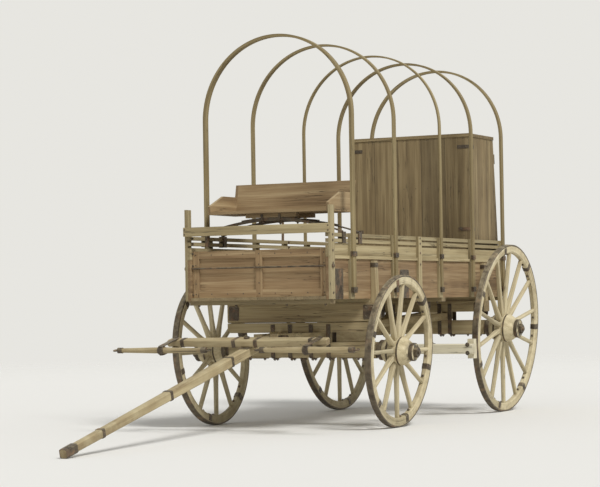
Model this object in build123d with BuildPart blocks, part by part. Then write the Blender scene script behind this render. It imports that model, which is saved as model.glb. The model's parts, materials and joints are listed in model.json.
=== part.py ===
"""A four-wheeled chuck wagon: farm running gear, plank box, five bare bows and a chuck box at the tail.

Millimetres. +X is the wagon's left side, +Y its tail, +Z up. The origin is on the ground, on the centre
plane, midway between the tip of the lowered tongue and the back of the rear wheels.
"""

from math import asin, atan, atan2, cos, degrees, hypot, radians, sin, tan

from build123d import *
import os

# Wheels and axle arms
track = 1524  # between the middles of the treads, at hub height
wheelbase = 2080
front_wheel_r = 540
rear_wheel_r = 665
tyre_width = 46
tyre_thickness = 12
tyre_edge = 3
felloe_depth = 56
felloe_width = 44
felloe_bevel = 9
saw_kerf = 1.6
front_spokes = 12
rear_spokes = 14
arm_dip = 3.5  # degrees that the axle arms point down; the dish of the wheels matches it
spoke_foot = (36, 46)  # round the hub, along the hub
spoke_waist = (25, 36)
spoke_waist_at = 0.35  # share of the spoke's length
spoke_tip = (28, 30)
spoke_corner = 7
spoke_tenon = 24
spoke_shoulder = 2
spoke_seat_gap = 0.3
mortise_play = 0.5
hub_back = 120  # from the middle of the spokes to the inner end
hub_nose = 142
front_hub_r = 98
rear_hub_r = 106
hub_band_width = 26
hub_band_step = 4
hub_swell = 5
hub_spoke_land = 34  # half the length of the flat that takes the spokes
hub_end_drop = 30  # how much thinner the hub's inner end is than its middle
hub_nose_drop = 38
skein_root_r = 40
skein_tip_r = 27
skein_play = 0.5
skein_collar_r = 54
skein_collar = 22
skein_nut_r = 38
skein_nut = 26
skein_end_r = 15
skein_end = 12

# Axles and the stacks of timber on them
axle_width = 95
axle_depth = 110
axle_bevel = 10
reach_width = 64
reach_depth = 56
reach_play = 8  # above and below the reach where the front gear turns round it
reach_ahead = 62
reach_tail = 560
reach_hole_r = 10
reach_hole_inset = 45
reach_side_gap = 0.3
rear_hound_depth = 68
rear_hound_width = 50
rear_hound_spread = 250  # from the centre line to each hound's middle over the axle
rear_hound_ahead = 640
rear_hound_clamp = 150
rear_hound_behind = 70
sand_board_depth = 70
sand_board_corner = 23
bolster_play = 2
bolster_top = 885
bolster_width = 92
bolster_bevel = 8
stake_width = 50
stake_depth = 44
stake_rise = 300
stake_taper = 12
stake_play = 1.5
bolt_r = 14
bolt_play = 0.6
bolt_head_r = 26
bolt_head = 16
head_sink = 2

# Front hounds and tongue
tongue_pin_ahead = 520
hound_width = 54
hound_spread = 262  # from the centre line to each hound's middle at its tail
hound_jaw = (70, 120)  # ahead of and behind the tongue's pin, where the hounds run parallel
hound_behind = 560
sway_bar_behind = 505
sway_bar = (650, 62, 40)
tongue_pin_r = 12
tongue_pin_play = 0.4
tongue_side_play = 3
tongue_butt = (70, 62)
tongue_mid = (68, 66)
tongue_tip = (46, 50)
tongue_corner = 8
tongue_heel = 90
tongue_mid_at = 560
tongue_length = 2700  # from its pin to its tip
tongue_cap = 4
tongue_cap_length = 120
tongue_hole_r = 9
tongue_hole_inset = 45
seat_play = 0.3  # between a fixed pin or band and the wood that it holds

# Doubletree and singletrees
doubletree_at = 330  # ahead of the tongue's pin
doubletree_length = 1240
doubletree_middle = 100
doubletree_end = 58
doubletree_depth = 50
doubletree_corner = 7
wear_plate = (150, 6)
wear_play = 0.5
doubletree_pin_r = 11
doubletree_pin_head_r = 20
doubletree_pin_head = 12
singletree_spread = 560  # from the centre line to each singletree's pin
singletree_ahead = 215
singletree_length = 700
singletree_r = 22
singletree_end_r = 15
clip_plate = (40, 6)
clip_play = 1
clip_pin_r = 8
clip_pin_head = 8
pin_play = 0.4
ferrule = 34
ferrule_step = 2.5
trace_hook_r = 16
trace_hook_wire_r = 5
trace_hook_open = 80  # degrees of the hook's circle that are left out

# Wagon box
bed_ahead = 700  # of the front axle
bed_length = 3260
bed_inside = 1067
board = 22
seam = 2
side_height = 290
upper_height = 86
slat_height = 26
slat_gap = 14
slat_count = 2
sill_depth = 30
sill_width = 70
sill_at = (-640, 0, 800, 1300, wheelbase, 2490)  # behind the front axle
floor_boards = 6
floor_gap = 3
cleat_width = 60
cleat_thickness = 20
post_rise = 190  # of the front corner posts above the slats
front_rail_height = 64
front_rail_thickness = 22
bead_height = 22
bead_thickness = 12
gate_inset = 44
gate_height = 330
gate_frame = 54
gate_frame_thickness = 14
rub_iron = (150, 210, 6)  # along the box, up it, thickness
rub_iron_corner = 18
rub_iron_at = 560
end_rod_r = 6
end_rod_drop = 60
end_rod_nut = 10
end_rod_nut_r = 14

# Bows, each with its place behind the front axle, its width and its thickness
bow_sizes = (
    (-360, 50, 18),
    (360, 42, 15),
    (1210, 34, 13),
    (1840, 44, 16),
    (2490, 46, 17),
)
bow_top = 2808
bow_foot = 962
bow_foot_corner = 3
bow_gap = 0.5
staple_thickness = 5
staple_height = 34
staple_rises = (0, 250)  # of the two staples above the bow's foot

# Spring seat
seat_middle = -330  # from the front axle
seat_depth = 400
seat_width = 960
seat_board = 20
seat_end_height = 120
seat_end_toe = 40
seat_back_height = 210
seat_back_rake = 12  # degrees
seat_riser = 30
spring_apart = 260
spring_half_span = 545
spring_rise = 92
spring_leaf = 8
spring_width = 42
spring_leaves = (1.0, 0.7, 0.42)  # share of the half span that each leaf covers
spring_hook = (46, 10, 70)  # along the side, iron's thickness, down the side

# Chuck box
chuck_ahead = 1950  # of its front wall, behind the front axle
chuck_half_width = 519
chuck_wall = 22
chuck_top = 2200
chuck_slope = 5  # degrees that the lid leans forward
chuck_top_board = 26
chuck_top_overhang = 6
shelf = 18
shelf_set_back = 4
shelf_play = 0.3
shelf_levels = (1215, 1400, 1790)  # undersides of the shelves
bay_counts = (2, 3, 4, 2)  # bays in each row, from the floor up
drawer_row_count = 1  # rows that drawers fill, from the floor up
drawer_gap = 3
drawer_depth = 320
drawer_wall = 14
drawer_set_back = 3
drawer_notch_r = 24
lid_thickness = 24
lid_gap = 0.5
lid_planks = 5
lid_groove = 5
lid_batten = (80, 18)
lid_batten_at = (170, 1110)
lid_foot = 8
hinge_stand_off = 12
hinge_rise = 9
hinge_barrel_r = 7
hinge_pin_r = 3.5
hinge_at = 330
hinge_leaf = (60, 4)
hinge_strap_length = 130
hinge_play = 0.5
leg_width = 46
leg_thickness = 30
leg_gap = 5
leg_pin_r = 6
leg_ear = (6, 34)
leg_ground_gap = 4

# Brake
brake_beam_z = 520
brake_beam_section = (66, 76)
brake_beam_half = 792
brake_beam_corner = 8
shoe = (52, 60, 150)  # along the beam, towards the wheel, up
shoe_gap = 25
shoe_closed_gap = 1.5
hanger_pivot_drop = 36
hanger_at = 420
hanger_strap = (36, 8)
hanger_pin_r = 8
hanger_plate = 6
lever_at = 820  # behind the front axle
lever_pivot_z = 850
lever_arm = 50
lever_arm_lean = 11.7  # degrees that the short arm leans forward when the brake is off
lever_rake = 10
lever_length = 860
lever_section = (32, 10)
lever_grip = 20
lever_boss_r = 22
lever_play = 1
lever_pivot_r = 9
ratchet_plate = 8
ratchet_r = 400
ratchet_depth = 36
ratchet_half_angle = 18
ratchet_teeth = 15
ratchet_tooth = 6
lever_bracket = (70, 210)
rod_section = (24, 8)
link_pin_r = 6
rod_eye_play = 2.5  # at the beam's ear, where the linkage is open
brake_ear_z = 560

# Places worked out from the sizes above
arm = radians(arm_dip)
half_track = track / 2
front_axle_z = front_wheel_r * cos(arm) + tyre_width / 2 * sin(arm)
rear_axle_z = rear_wheel_r * cos(arm) + tyre_width / 2 * sin(arm)


def dish_of(wheel_r, hub_r):
    """How far the spokes' feet stand inwards of the felloes."""
    return (wheel_r - tyre_thickness - felloe_depth - hub_r) * tan(arm)


def arm_root(dish):
    """Distance along the arm, inwards from the wheel's middle, where the wooden axle ends."""
    return dish + hub_back + skein_play + skein_collar


front_dish = dish_of(front_wheel_r, front_hub_r)
rear_dish = dish_of(rear_wheel_r, rear_hub_r)
front_beam_z = front_axle_z + arm_root(front_dish) * sin(arm)
rear_beam_z = rear_axle_z + arm_root(rear_dish) * sin(arm)
front_beam_top = front_beam_z + axle_depth / 2
rear_beam_top = rear_beam_z + axle_depth / 2
hound_depth = reach_depth + 2 * reach_play
hound_z = front_beam_top + hound_depth / 2
sand_board_bottom = front_beam_top + hound_depth
sand_board_top = sand_board_bottom + sand_board_depth
rear_stack_top = rear_beam_top + rear_hound_depth
reach_rear_z = rear_beam_top + rear_hound_depth / 2
reach_slope = atan2(reach_rear_z - hound_z, wheelbase)

tongue_lift = tongue_tip[1] / 2 + tongue_cap
tongue_drop = asin(hound_z / hypot(tongue_length, tongue_lift)) - atan(tongue_lift / tongue_length)
ahead_of_axle = tongue_pin_ahead + tongue_length * cos(tongue_drop) + tongue_lift * sin(tongue_drop)
front_y = (ahead_of_axle - wheelbase - rear_wheel_r) / 2
rear_y = front_y + wheelbase
pin_y = front_y - tongue_pin_ahead
bed_front_y = front_y - bed_ahead
bed_rear_y = bed_front_y + bed_length

sill_top = bolster_top + sill_depth
floor_top = sill_top + board
side_in = bed_inside / 2
side_out = side_in + board
cleat_out = side_out + cleat_thickness
side_top = sill_top + side_height
upper_bottom = side_top + seam
upper_top = upper_bottom + upper_height
slat_pitch = slat_height + slat_gap
box_top = upper_top + slat_count * slat_pitch
bow_in = cleat_out + bow_gap

os.makedirs("parts", exist_ok=True)


def keep(builder, name):
    """Labels a finished piece and writes its file."""
    builder.part.label = name
    export_step(builder.part, f"parts/{name}.step")


def timber(x_span, y_span, z_span, mode=Mode.ADD):
    """A sawn timber, or a square notch, between two limits on each axis."""
    spans = (x_span, y_span, z_span)
    middle = tuple((low + high) / 2 for low, high in spans)
    size = tuple(high - low for low, high in spans)
    with Locations(middle):
        Box(*size, mode=mode)


def cross_bar(x_span, y, z, radius, mode=Mode.ADD):
    """A round bar, or a hole, that runs across the wagon."""
    with Locations(Location(((x_span[0] + x_span[1]) / 2, y, z), (0, 90, 0))):
        Cylinder(radius, x_span[1] - x_span[0], mode=mode)


def upright(x, y, z_span, radius, mode=Mode.ADD):
    """A round bar, or a hole, that stands upright."""
    with Locations((x, y, (z_span[0] + z_span[1]) / 2)):
        Cylinder(radius, z_span[1] - z_span[0], mode=mode)


def outline(points):
    """A closed face with straight edges, in the sketch being made."""
    Polygon(*points, align=None)


class WheelSeat:
    """Where a wheel turns: its middle, its spin axis and the planes that its pieces are drawn on."""

    def __init__(self, side, y, z):
        self.centre = Vector(side * half_track, y, z)
        self.out = Vector(side * cos(arm), 0, -sin(arm))
        self.spin = Axis(self.centre, self.out)
        # On the section plane x runs outwards along the arm and y up the wheel.
        self.section = Plane(self.centre, x_dir=self.out, z_dir=(0, -side, 0))
        # On the face plane x runs up the wheel and the normal outwards along the arm.
        self.face = Plane(self.centre, x_dir=self.section.y_dir, z_dir=self.out)


def make_spoke(wheel_r, hub_r, dish):
    """One spoke, along +X from its tenon in the hub to the felloe, leaning outwards by the dish."""
    foot_r = hub_r + spoke_seat_gap
    tip_r = wheel_r - tyre_thickness - felloe_depth - spoke_seat_gap
    waist_r = foot_r + (tip_r - foot_r) * spoke_waist_at
    stations = (  # distance from the hub's axis, lean along the hub, section
        (foot_r, -dish, spoke_foot),
        (waist_r, -dish * (1 - spoke_waist_at), spoke_waist),
        (tip_r, 0, spoke_tip),
    )
    with BuildPart() as spoke:
        for radius, lean, section in stations:
            with BuildSketch(Plane((radius, 0, lean), x_dir=(0, 1, 0), z_dir=(1, 0, 0))) as cut:
                Rectangle(*section)
                chamfer(cut.vertices(), spoke_corner)
        loft(ruled=True)
        with Locations((foot_r - spoke_tenon / 2, 0, -dish)):
            Box(spoke_tenon, spoke_foot[0] - 2 * spoke_shoulder, spoke_foot[1] - 2 * spoke_shoulder)
    return spoke.part


def build_wheel(name, seat, wheel_r, hub_r, dish, spoke_count):
    """A dished wheel: iron tyre, sawn felloes, tapered spokes tenoned into a banded hub."""
    pitch = 360 / spoke_count
    felloe_r = wheel_r - tyre_thickness

    with BuildPart() as tyre:
        with BuildSketch(seat.section):
            with Locations((0, wheel_r - tyre_thickness / 2)):
                tread = Rectangle(tyre_width, tyre_thickness)
            chamfer(tread.vertices().group_by(Axis.Y)[-1], tyre_edge)
        revolve(axis=seat.spin)
    keep(tyre, f"{name}_tyre")

    half = felloe_width / 2
    inner = felloe_r - felloe_depth
    with BuildPart() as felloes:
        with BuildSketch(seat.section):
            outline((
                (-half, felloe_r - spoke_seat_gap),
                (-half, inner + felloe_bevel),
                (felloe_bevel - half, inner),
                (half - felloe_bevel, inner),
                (half, inner + felloe_bevel),
                (half, felloe_r - spoke_seat_gap),
            ))
        revolve(axis=seat.spin)
        with BuildSketch(seat.face):
            with PolarLocations(felloe_r - felloe_depth / 2, spoke_count // 2, start_angle=pitch / 2):
                Rectangle(2 * felloe_depth, saw_kerf)
        extrude(amount=felloe_width, both=True, mode=Mode.SUBTRACT)
    keep(felloes, f"{name}_felloes")

    spoke = make_spoke(wheel_r, hub_r, dish)
    with BuildPart(seat.face) as spokes:
        with PolarLocations(0, spoke_count):
            add(spoke)
    keep(spokes, f"{name}_spokes")

    back = -dish - hub_back
    nose = -dish + hub_nose
    back_r = hub_r - hub_end_drop
    nose_r = hub_r - hub_nose_drop
    land_low = -dish - hub_spoke_land
    land_high = -dish + hub_spoke_land
    band_r = hub_r + hub_band_step
    back_step = back + hub_band_width
    nose_step = nose - hub_band_width
    land_back = land_low - hub_band_width / 2
    land_nose = land_high + hub_band_width / 2
    with BuildPart() as hub:
        with BuildSketch(seat.section):
            with BuildLine():
                Polyline(
                    (back_step, back_r),
                    (back_step, back_r + hub_band_step),
                    (back, back_r + hub_band_step),
                    (back, skein_root_r + skein_play),
                    (nose, skein_tip_r + skein_play),
                    (nose, nose_r + hub_band_step),
                    (nose_step, nose_r + hub_band_step),
                    (nose_step, nose_r),
                )
                ThreePointArc(
                    (nose_step, nose_r),
                    ((nose_step + land_nose) / 2, (nose_r + band_r) / 2 + hub_swell),
                    (land_nose, band_r),
                )
                Polyline(
                    (land_nose, band_r),
                    (land_high, band_r),
                    (land_high, hub_r),
                    (land_low, hub_r),
                    (land_low, band_r),
                    (land_back, band_r),
                )
                ThreePointArc(
                    (land_back, band_r),
                    ((back_step + land_back) / 2, (back_r + band_r) / 2 + hub_swell),
                    (back_step, back_r),
                )
            make_face()
        revolve(axis=seat.spin)
        mortise = [size - 2 * spoke_shoulder + 2 * mortise_play for size in spoke_foot]
        with BuildSketch(seat.face.offset(-dish - mortise[1] / 2)):
            with PolarLocations(hub_r, spoke_count):
                Rectangle(2 * spoke_tenon + 2 * mortise_play, mortise[0])
        extrude(amount=mortise[1], mode=Mode.SUBTRACT)
    keep(hub, f"{name}_hub")


def build_skeins(name, seats, dish):
    """The iron sleeves on the axle arms, each with its collar, taper, nut and threaded end."""
    root = -arm_root(dish)
    back = -dish - hub_back - skein_play
    nose = -dish + hub_nose + skein_play
    with BuildPart() as skeins:
        for seat in seats:
            with BuildSketch(seat.section):
                outline((
                    (root, 0),
                    (root, skein_collar_r),
                    (back, skein_collar_r),
                    (back, skein_root_r),
                    (nose, skein_tip_r),
                    (nose + skein_nut, skein_tip_r),
                    (nose + skein_nut, skein_end_r),
                    (nose + skein_nut + skein_end, skein_end_r),
                    (nose + skein_nut + skein_end, 0),
                ))
            revolve(axis=seat.spin)
            with BuildSketch(seat.face.offset(nose)):
                RegularPolygon(skein_nut_r, 6)
            extrude(amount=skein_nut)
    keep(skeins, name)


def build_axle(name, y, beam_z, dish, bolt_hole):
    """An axle timber whose ends stand square to the dipping arms."""
    half_depth = axle_depth / 2
    reach_x = half_track - arm_root(dish) * cos(arm)
    lean = half_depth * tan(arm)
    with BuildPart() as axle:
        with BuildSketch(Plane.XZ.offset(-y - axle_width / 2)):
            outline((
                (-reach_x - lean, beam_z + half_depth),
                (reach_x + lean, beam_z + half_depth),
                (reach_x - lean, beam_z - half_depth),
                (-reach_x + lean, beam_z - half_depth),
            ))
        extrude(amount=axle_width)
        chamfer(axle.edges().filter_by(Axis.X).group_by(Axis.Z)[0], axle_bevel)
        if bolt_hole:
            upright(0, y, (beam_z - axle_depth, beam_z + axle_depth), bolt_r + bolt_play, Mode.SUBTRACT)
    keep(axle, name)


front_seats = (WheelSeat(1, front_y, front_axle_z), WheelSeat(-1, front_y, front_axle_z))
rear_seats = (WheelSeat(1, rear_y, rear_axle_z), WheelSeat(-1, rear_y, rear_axle_z))
build_wheel("front_left", front_seats[0], front_wheel_r, front_hub_r, front_dish, front_spokes)
build_wheel("front_right", front_seats[1], front_wheel_r, front_hub_r, front_dish, front_spokes)
build_wheel("rear_left", rear_seats[0], rear_wheel_r, rear_hub_r, rear_dish, rear_spokes)
build_wheel("rear_right", rear_seats[1], rear_wheel_r, rear_hub_r, rear_dish, rear_spokes)
build_skeins("front_skeins", front_seats, front_dish)
build_skeins("rear_skeins", rear_seats, rear_dish)
build_axle("front_axle", front_y, front_beam_z, front_dish, bolt_hole=True)
build_axle("rear_axle", rear_y, rear_beam_z, rear_dish, bolt_hole=False)

# The reach slopes up to the rear axle; on its plane x runs left, y along it to the tail.
reach_plane = Plane(
    (0, rear_y, reach_rear_z),
    x_dir=(1, 0, 0),
    z_dir=(0, -sin(reach_slope), cos(reach_slope)),
)
reach_front = -wheelbase / cos(reach_slope) - reach_ahead
clamp_rear = rear_hound_clamp - rear_hound_ahead

with BuildPart() as reach:
    with BuildSketch(reach_plane.offset(-reach_depth / 2)):
        with Locations((0, (reach_front + reach_tail) / 2)):
            Rectangle(reach_width, reach_tail - reach_front)
    extrude(amount=reach_depth)
    chamfer(reach.edges().group_by(Axis.Y)[-1], axle_bevel)
    upright(0, front_y, (hound_z - axle_depth, hound_z + axle_depth), bolt_r + bolt_play, Mode.SUBTRACT)
    with Locations(reach_plane):
        with Locations((0, reach_tail - reach_hole_inset, 0)):
            Cylinder(reach_hole_r, 2 * reach_depth, mode=Mode.SUBTRACT)
        with Locations(Location((0, clamp_rear - rear_hound_clamp / 2, 0), (0, 90, 0))):
            Cylinder(hanger_pin_r + seat_play, 2 * reach_width, mode=Mode.SUBTRACT)
keep(reach, "reach")

with BuildPart() as rear_hounds:
    inner_x = reach_width / 2 + reach_side_gap
    half = rear_hound_width / 2
    for side in (1, -1):
        with BuildSketch(reach_plane.offset(-reach_depth / 2)):
            outline((
                (side * inner_x, -rear_hound_ahead),
                (side * (inner_x + 2 * half), -rear_hound_ahead),
                (side * (inner_x + 2 * half), clamp_rear),
                (side * (rear_hound_spread + half), -axle_width / 2),
                (side * (rear_hound_spread + half), rear_hound_behind),
                (side * (rear_hound_spread - half), rear_hound_behind),
                (side * (rear_hound_spread - half), -axle_width / 2),
                (side * inner_x, clamp_rear),
            ))
        extrude(amount=reach_depth)
        timber(
            (side * rear_hound_spread - half, side * rear_hound_spread + half),
            (rear_y - axle_width / 2, rear_y + axle_width / 2),
            (rear_beam_top, rear_stack_top),
        )
    with Locations(reach_plane):
        with Locations(Location((0, clamp_rear - rear_hound_clamp / 2, 0), (0, 90, 0))):
            Cylinder(hanger_pin_r + seat_play, 4 * reach_width, mode=Mode.SUBTRACT)
keep(rear_hounds, "rear_hounds")

bolster_half = side_out + stake_play + stake_depth
with BuildPart() as bolsters:
    for y, bottom in ((front_y, sand_board_top + bolster_play), (rear_y, rear_stack_top)):
        timber(
            (-bolster_half, bolster_half),
            (y - bolster_width / 2, y + bolster_width / 2),
            (bottom, bolster_top),
        )
        chamfer(bolsters.edges().filter_by(Axis.X).group_by(Axis.Z)[0], bolster_bevel)
        for side in (1, -1):
            inner = side_out + stake_play
            with BuildSketch(Plane.XZ.offset(-y - stake_width / 2)):
                outline((
                    (side * inner, bolster_top),
                    (side * (inner + stake_depth), bolster_top),
                    (side * (inner + stake_depth - stake_taper), bolster_top + stake_rise),
                    (side * inner, bolster_top + stake_rise),
                ))
            extrude(amount=stake_width)
    upright(0, front_y, (sand_board_top, bolster_top), bolt_r + bolt_play, Mode.SUBTRACT)
    upright(
        0,
        front_y,
        (bolster_top - bolt_head - head_sink, bolster_top),
        bolt_head_r + bolt_play,
        Mode.SUBTRACT,
    )
keep(bolsters, "bolsters")

with BuildPart() as gear_bolts:
    axle_bottom = front_beam_z - axle_depth / 2
    upright(0, front_y, (axle_bottom - 2 * bolt_head, bolster_top - head_sink), bolt_r)
    upright(
        0,
        front_y,
        (bolster_top - bolt_head - head_sink + bolt_play / 2, bolster_top - head_sink),
        bolt_head_r,
    )
    with BuildSketch(Plane((0, front_y, axle_bottom - bolt_head - bolt_play))):
        RegularPolygon(bolt_head_r, 6)
    extrude(amount=bolt_head)
    # The second bolt clamps the reach between the tips of the rear hounds.
    clamp_half = reach_width / 2 + reach_side_gap + rear_hound_width
    with Locations(reach_plane):
        with Locations(Location((0, clamp_rear - rear_hound_clamp / 2, 0), (0, 90, 0))):
            Cylinder(hanger_pin_r, 2 * (clamp_half + seat_play))
        for side in (1, -1):
            middle_x = side * (clamp_half + seat_play + bolt_head / 4)
            with Locations(Location((middle_x, clamp_rear - rear_hound_clamp / 2, 0), (0, 90, 0))):
                Cylinder(2 * hanger_pin_r, bolt_head / 2)
keep(gear_bolts, "gear_bolts")

with BuildPart() as sand_board:
    timber(
        (-bolster_half, bolster_half),
        (front_y - bolster_width / 2, front_y + bolster_width / 2),
        (sand_board_bottom, sand_board_top),
    )
    chamfer(sand_board.edges().filter_by(Axis.Y).group_by(Axis.Z)[0], sand_board_corner)
    upright(0, front_y, (sand_board_bottom, sand_board_top), bolt_r + bolt_play, Mode.SUBTRACT)
keep(sand_board, "sand_board")

jaw_in = tongue_butt[0] / 2 + tongue_side_play
jaw_out = jaw_in + hound_width
with BuildPart() as front_hounds:
    for side in (1, -1):
        with BuildSketch(Plane((0, pin_y, front_beam_top))):
            outline((
                (side * jaw_in, -hound_jaw[0]),
                (side * jaw_out, -hound_jaw[0]),
                (side * jaw_out, hound_jaw[1]),
                (side * (hound_spread + hound_width / 2), tongue_pin_ahead + hound_behind),
                (side * (hound_spread - hound_width / 2), tongue_pin_ahead + hound_behind),
                (side * jaw_in, hound_jaw[1]),
            ))
        extrude(amount=hound_depth)
    cross_bar((-2 * jaw_out, 2 * jaw_out), pin_y, hound_z, tongue_pin_r + seat_play, Mode.SUBTRACT)
    timber(
        (-sway_bar[0] / 2, sway_bar[0] / 2),
        (front_y + sway_bar_behind - sway_bar[1] / 2, front_y + sway_bar_behind + sway_bar[1] / 2),
        (front_beam_top - sway_bar[2], front_beam_top),
    )
keep(front_hounds, "front_hounds")

with BuildPart() as tongue_pin:
    cross_bar((-jaw_out - seat_play, jaw_out + seat_play), pin_y, hound_z, tongue_pin_r)
    for side in (1, -1):
        ends = sorted((side * (jaw_out + seat_play), side * (jaw_out + seat_play + bolt_head)))
        cross_bar(ends, pin_y, hound_z, 2 * tongue_pin_r)
keep(tongue_pin, "tongue_pin")

# On the tongue's stations x runs left and y squarely up; on its top plane y runs back to the pin.
tongue_dir = (0, -cos(tongue_drop), -sin(tongue_drop))
tongue_up = (0, -sin(tongue_drop), cos(tongue_drop))
tongue_stations = Plane((0, pin_y, hound_z), x_dir=(1, 0, 0), z_dir=tongue_dir)
tongue_deck = Plane((0, pin_y, hound_z), x_dir=(1, 0, 0), z_dir=tongue_up)

with BuildPart() as tongue:
    for along, section in (
        (-tongue_heel, tongue_butt),
        (tongue_mid_at, tongue_mid),
        (tongue_length, tongue_tip),
    ):
        with BuildSketch(tongue_stations.offset(along)) as cut:
            Rectangle(*section)
            chamfer(cut.vertices(), tongue_corner)
    loft(ruled=True)
    cross_bar((-jaw_out, jaw_out), pin_y, hound_z, tongue_pin_r + tongue_pin_play, Mode.SUBTRACT)
    with Locations(tongue_deck):
        with Locations((0, -doubletree_at, 0)):
            Cylinder(doubletree_pin_r + seat_play, 2 * tongue_mid[1], mode=Mode.SUBTRACT)
        with Locations((0, tongue_hole_inset - tongue_length, 0)):
            Cylinder(tongue_hole_r, 2 * tongue_mid[1], mode=Mode.SUBTRACT)
keep(tongue, "tongue")


def tongue_depth_at(along):
    """The tongue's depth at a distance ahead of its pin."""
    share = (along + tongue_heel) / (tongue_mid_at + tongue_heel)
    if along > tongue_mid_at:
        share = (along - tongue_mid_at) / (tongue_length - tongue_mid_at)
        return tongue_mid[1] + (tongue_tip[1] - tongue_mid[1]) * share
    return tongue_butt[1] + (tongue_mid[1] - tongue_butt[1]) * share


# The plate lies on the deepest part of the tongue that it covers.
plate_z = tongue_depth_at(doubletree_at + wear_plate[0] / 2) / 2
doubletree_low = plate_z + wear_plate[1] + wear_play
doubletree_high = doubletree_low + doubletree_depth
cap_depth = tongue_depth_at(tongue_length - tongue_cap_length)
cap_width = tongue_tip[0] + (cap_depth - tongue_tip[1]) * (tongue_mid[0] - tongue_tip[0]) / (
    tongue_mid[1] - tongue_tip[1]
)

with BuildPart() as tongue_irons:
    for grow, mode in ((tongue_cap, Mode.ADD), (seat_play, Mode.SUBTRACT)):
        for along, section in (
            (tongue_length - tongue_cap_length, (cap_width, cap_depth)),
            (tongue_length, tongue_tip),
        ):
            with BuildSketch(tongue_stations.offset(along)) as cut:
                Rectangle(section[0] + 2 * grow, section[1] + 2 * grow)
                chamfer(cut.vertices(), tongue_corner)
        loft(ruled=True, mode=mode)
    with Locations(tongue_deck):
        with Locations((0, tongue_hole_inset - tongue_length, 0)):
            Cylinder(tongue_hole_r, 2 * tongue_mid[1], mode=Mode.SUBTRACT)
        with Locations((0, -doubletree_at, plate_z + wear_plate[1] / 2)):
            Box(tongue_mid[0], wear_plate[0], wear_plate[1])
    pin_low = -tongue_mid[1] / 2 - doubletree_pin_head
    pin_high = doubletree_high + wear_play
    with BuildSketch(tongue_deck.offset(pin_low)):
        with Locations((0, -doubletree_at)):
            Circle(doubletree_pin_r)
    extrude(amount=pin_high - pin_low)
    for level in (pin_low, pin_high):
        with BuildSketch(tongue_deck.offset(level)):
            with Locations((0, -doubletree_at)):
                Circle(doubletree_pin_head_r)
        extrude(amount=doubletree_pin_head - seat_play)
keep(tongue_irons, "tongue_irons")

with BuildPart() as doubletree:
    half_length = doubletree_length / 2
    with BuildSketch(tongue_deck.offset(doubletree_low)):
        with Locations((0, -doubletree_at)):
            outline((
                (-half_length, -doubletree_end / 2),
                (0, -doubletree_middle / 2),
                (half_length, -doubletree_end / 2),
                (half_length, doubletree_end / 2),
                (0, doubletree_middle / 2),
                (-half_length, doubletree_end / 2),
            ))
    extrude(amount=doubletree_depth)
    level_faces = doubletree.faces().sort_by(Axis((0, 0, 0), tongue_up))
    chamfer(level_faces[0].edges() + level_faces[-1].edges(), doubletree_corner)
    with BuildSketch(tongue_deck):
        with Locations((0, -doubletree_at)):
            Circle(doubletree_pin_r + pin_play)
        with Locations((singletree_spread, -doubletree_at), (-singletree_spread, -doubletree_at)):
            Circle(clip_pin_r + pin_play)
    extrude(amount=2 * doubletree_high, mode=Mode.SUBTRACT)
keep(doubletree, "doubletree")

tree_level = (doubletree_low + doubletree_high) / 2
clip_low = doubletree_low - clip_play - clip_plate[1]
clip_high = doubletree_high + clip_play
half_single = singletree_length / 2
for side, hand in ((1, "left"), (-1, "right")):
    pivot_x = side * singletree_spread
    tree_plane = tongue_deck.offset(tree_level)
    middle = (pivot_x, -doubletree_at - singletree_ahead)
    with BuildPart() as singletree:
        with BuildSketch(tree_plane):
            with Locations(middle):
                outline((
                    (-half_single, 0),
                    (-half_single, singletree_end_r),
                    (0, singletree_r),
                    (half_single, singletree_end_r),
                    (half_single, 0),
                ))
        tree_axis = Axis(tree_plane.from_local_coords(Vector(*middle, 0)), Vector(1, 0, 0))
        revolve(axis=tree_axis)
    keep(singletree, f"singletree_{hand}")

    with BuildPart() as singletree_irons:
        clip_length = singletree_ahead + clip_plate[0]
        for low in (clip_low, clip_high):
            with BuildSketch(tongue_deck.offset(low)):
                with Locations((pivot_x, -doubletree_at - singletree_ahead / 2)):
                    SlotOverall(clip_length, clip_plate[0], rotation=90)
            extrude(amount=clip_plate[1])
        with BuildSketch(tongue_deck.offset(clip_low - clip_pin_head)):
            with Locations((pivot_x, -doubletree_at)):
                Circle(clip_pin_r)
        extrude(amount=clip_high + clip_plate[1] + 2 * clip_pin_head - clip_low)
        ring_r = singletree_r + seat_play
        with BuildSketch(Plane(tree_axis.position, x_dir=(0, 1, 0), z_dir=(1, 0, 0))):
            Circle(tree_level - clip_low - clip_plate[1] / 2)
            Circle(ring_r, mode=Mode.SUBTRACT)
        extrude(amount=clip_plate[0] / 2, both=True)
        for end in (1, -1):
            inner = half_single - ferrule
            tip = half_single + seat_play
            with BuildSketch(tree_plane):
                with Locations(middle):
                    outline((
                        (end * inner, singletree_end_r + ferrule_step),
                        (end * inner, singletree_end_r + 2 * ferrule_step),
                        (end * (tip + ferrule_step), singletree_end_r + 2 * ferrule_step),
                        (end * (tip + ferrule_step), 0),
                        (end * tip, 0),
                        (end * tip, singletree_end_r + ferrule_step),
                    ))
            revolve(axis=tree_axis)
            hook_x = pivot_x + end * (tip + seat_play + trace_hook_r + trace_hook_wire_r)
            hook_centre = tree_plane.from_local_coords(Vector(hook_x, middle[1], 0))
            with BuildSketch(Plane(hook_centre, x_dir=(-end, 0, 0), z_dir=tongue_dir)):
                with Locations((trace_hook_r, 0)):
                    Circle(trace_hook_wire_r)
            revolve(
                axis=Axis(hook_centre, Vector(*tongue_up)),
                revolution_arc=end * (360 - trace_hook_open),
            )
    keep(singletree_irons, f"singletree_{hand}_irons")

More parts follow.
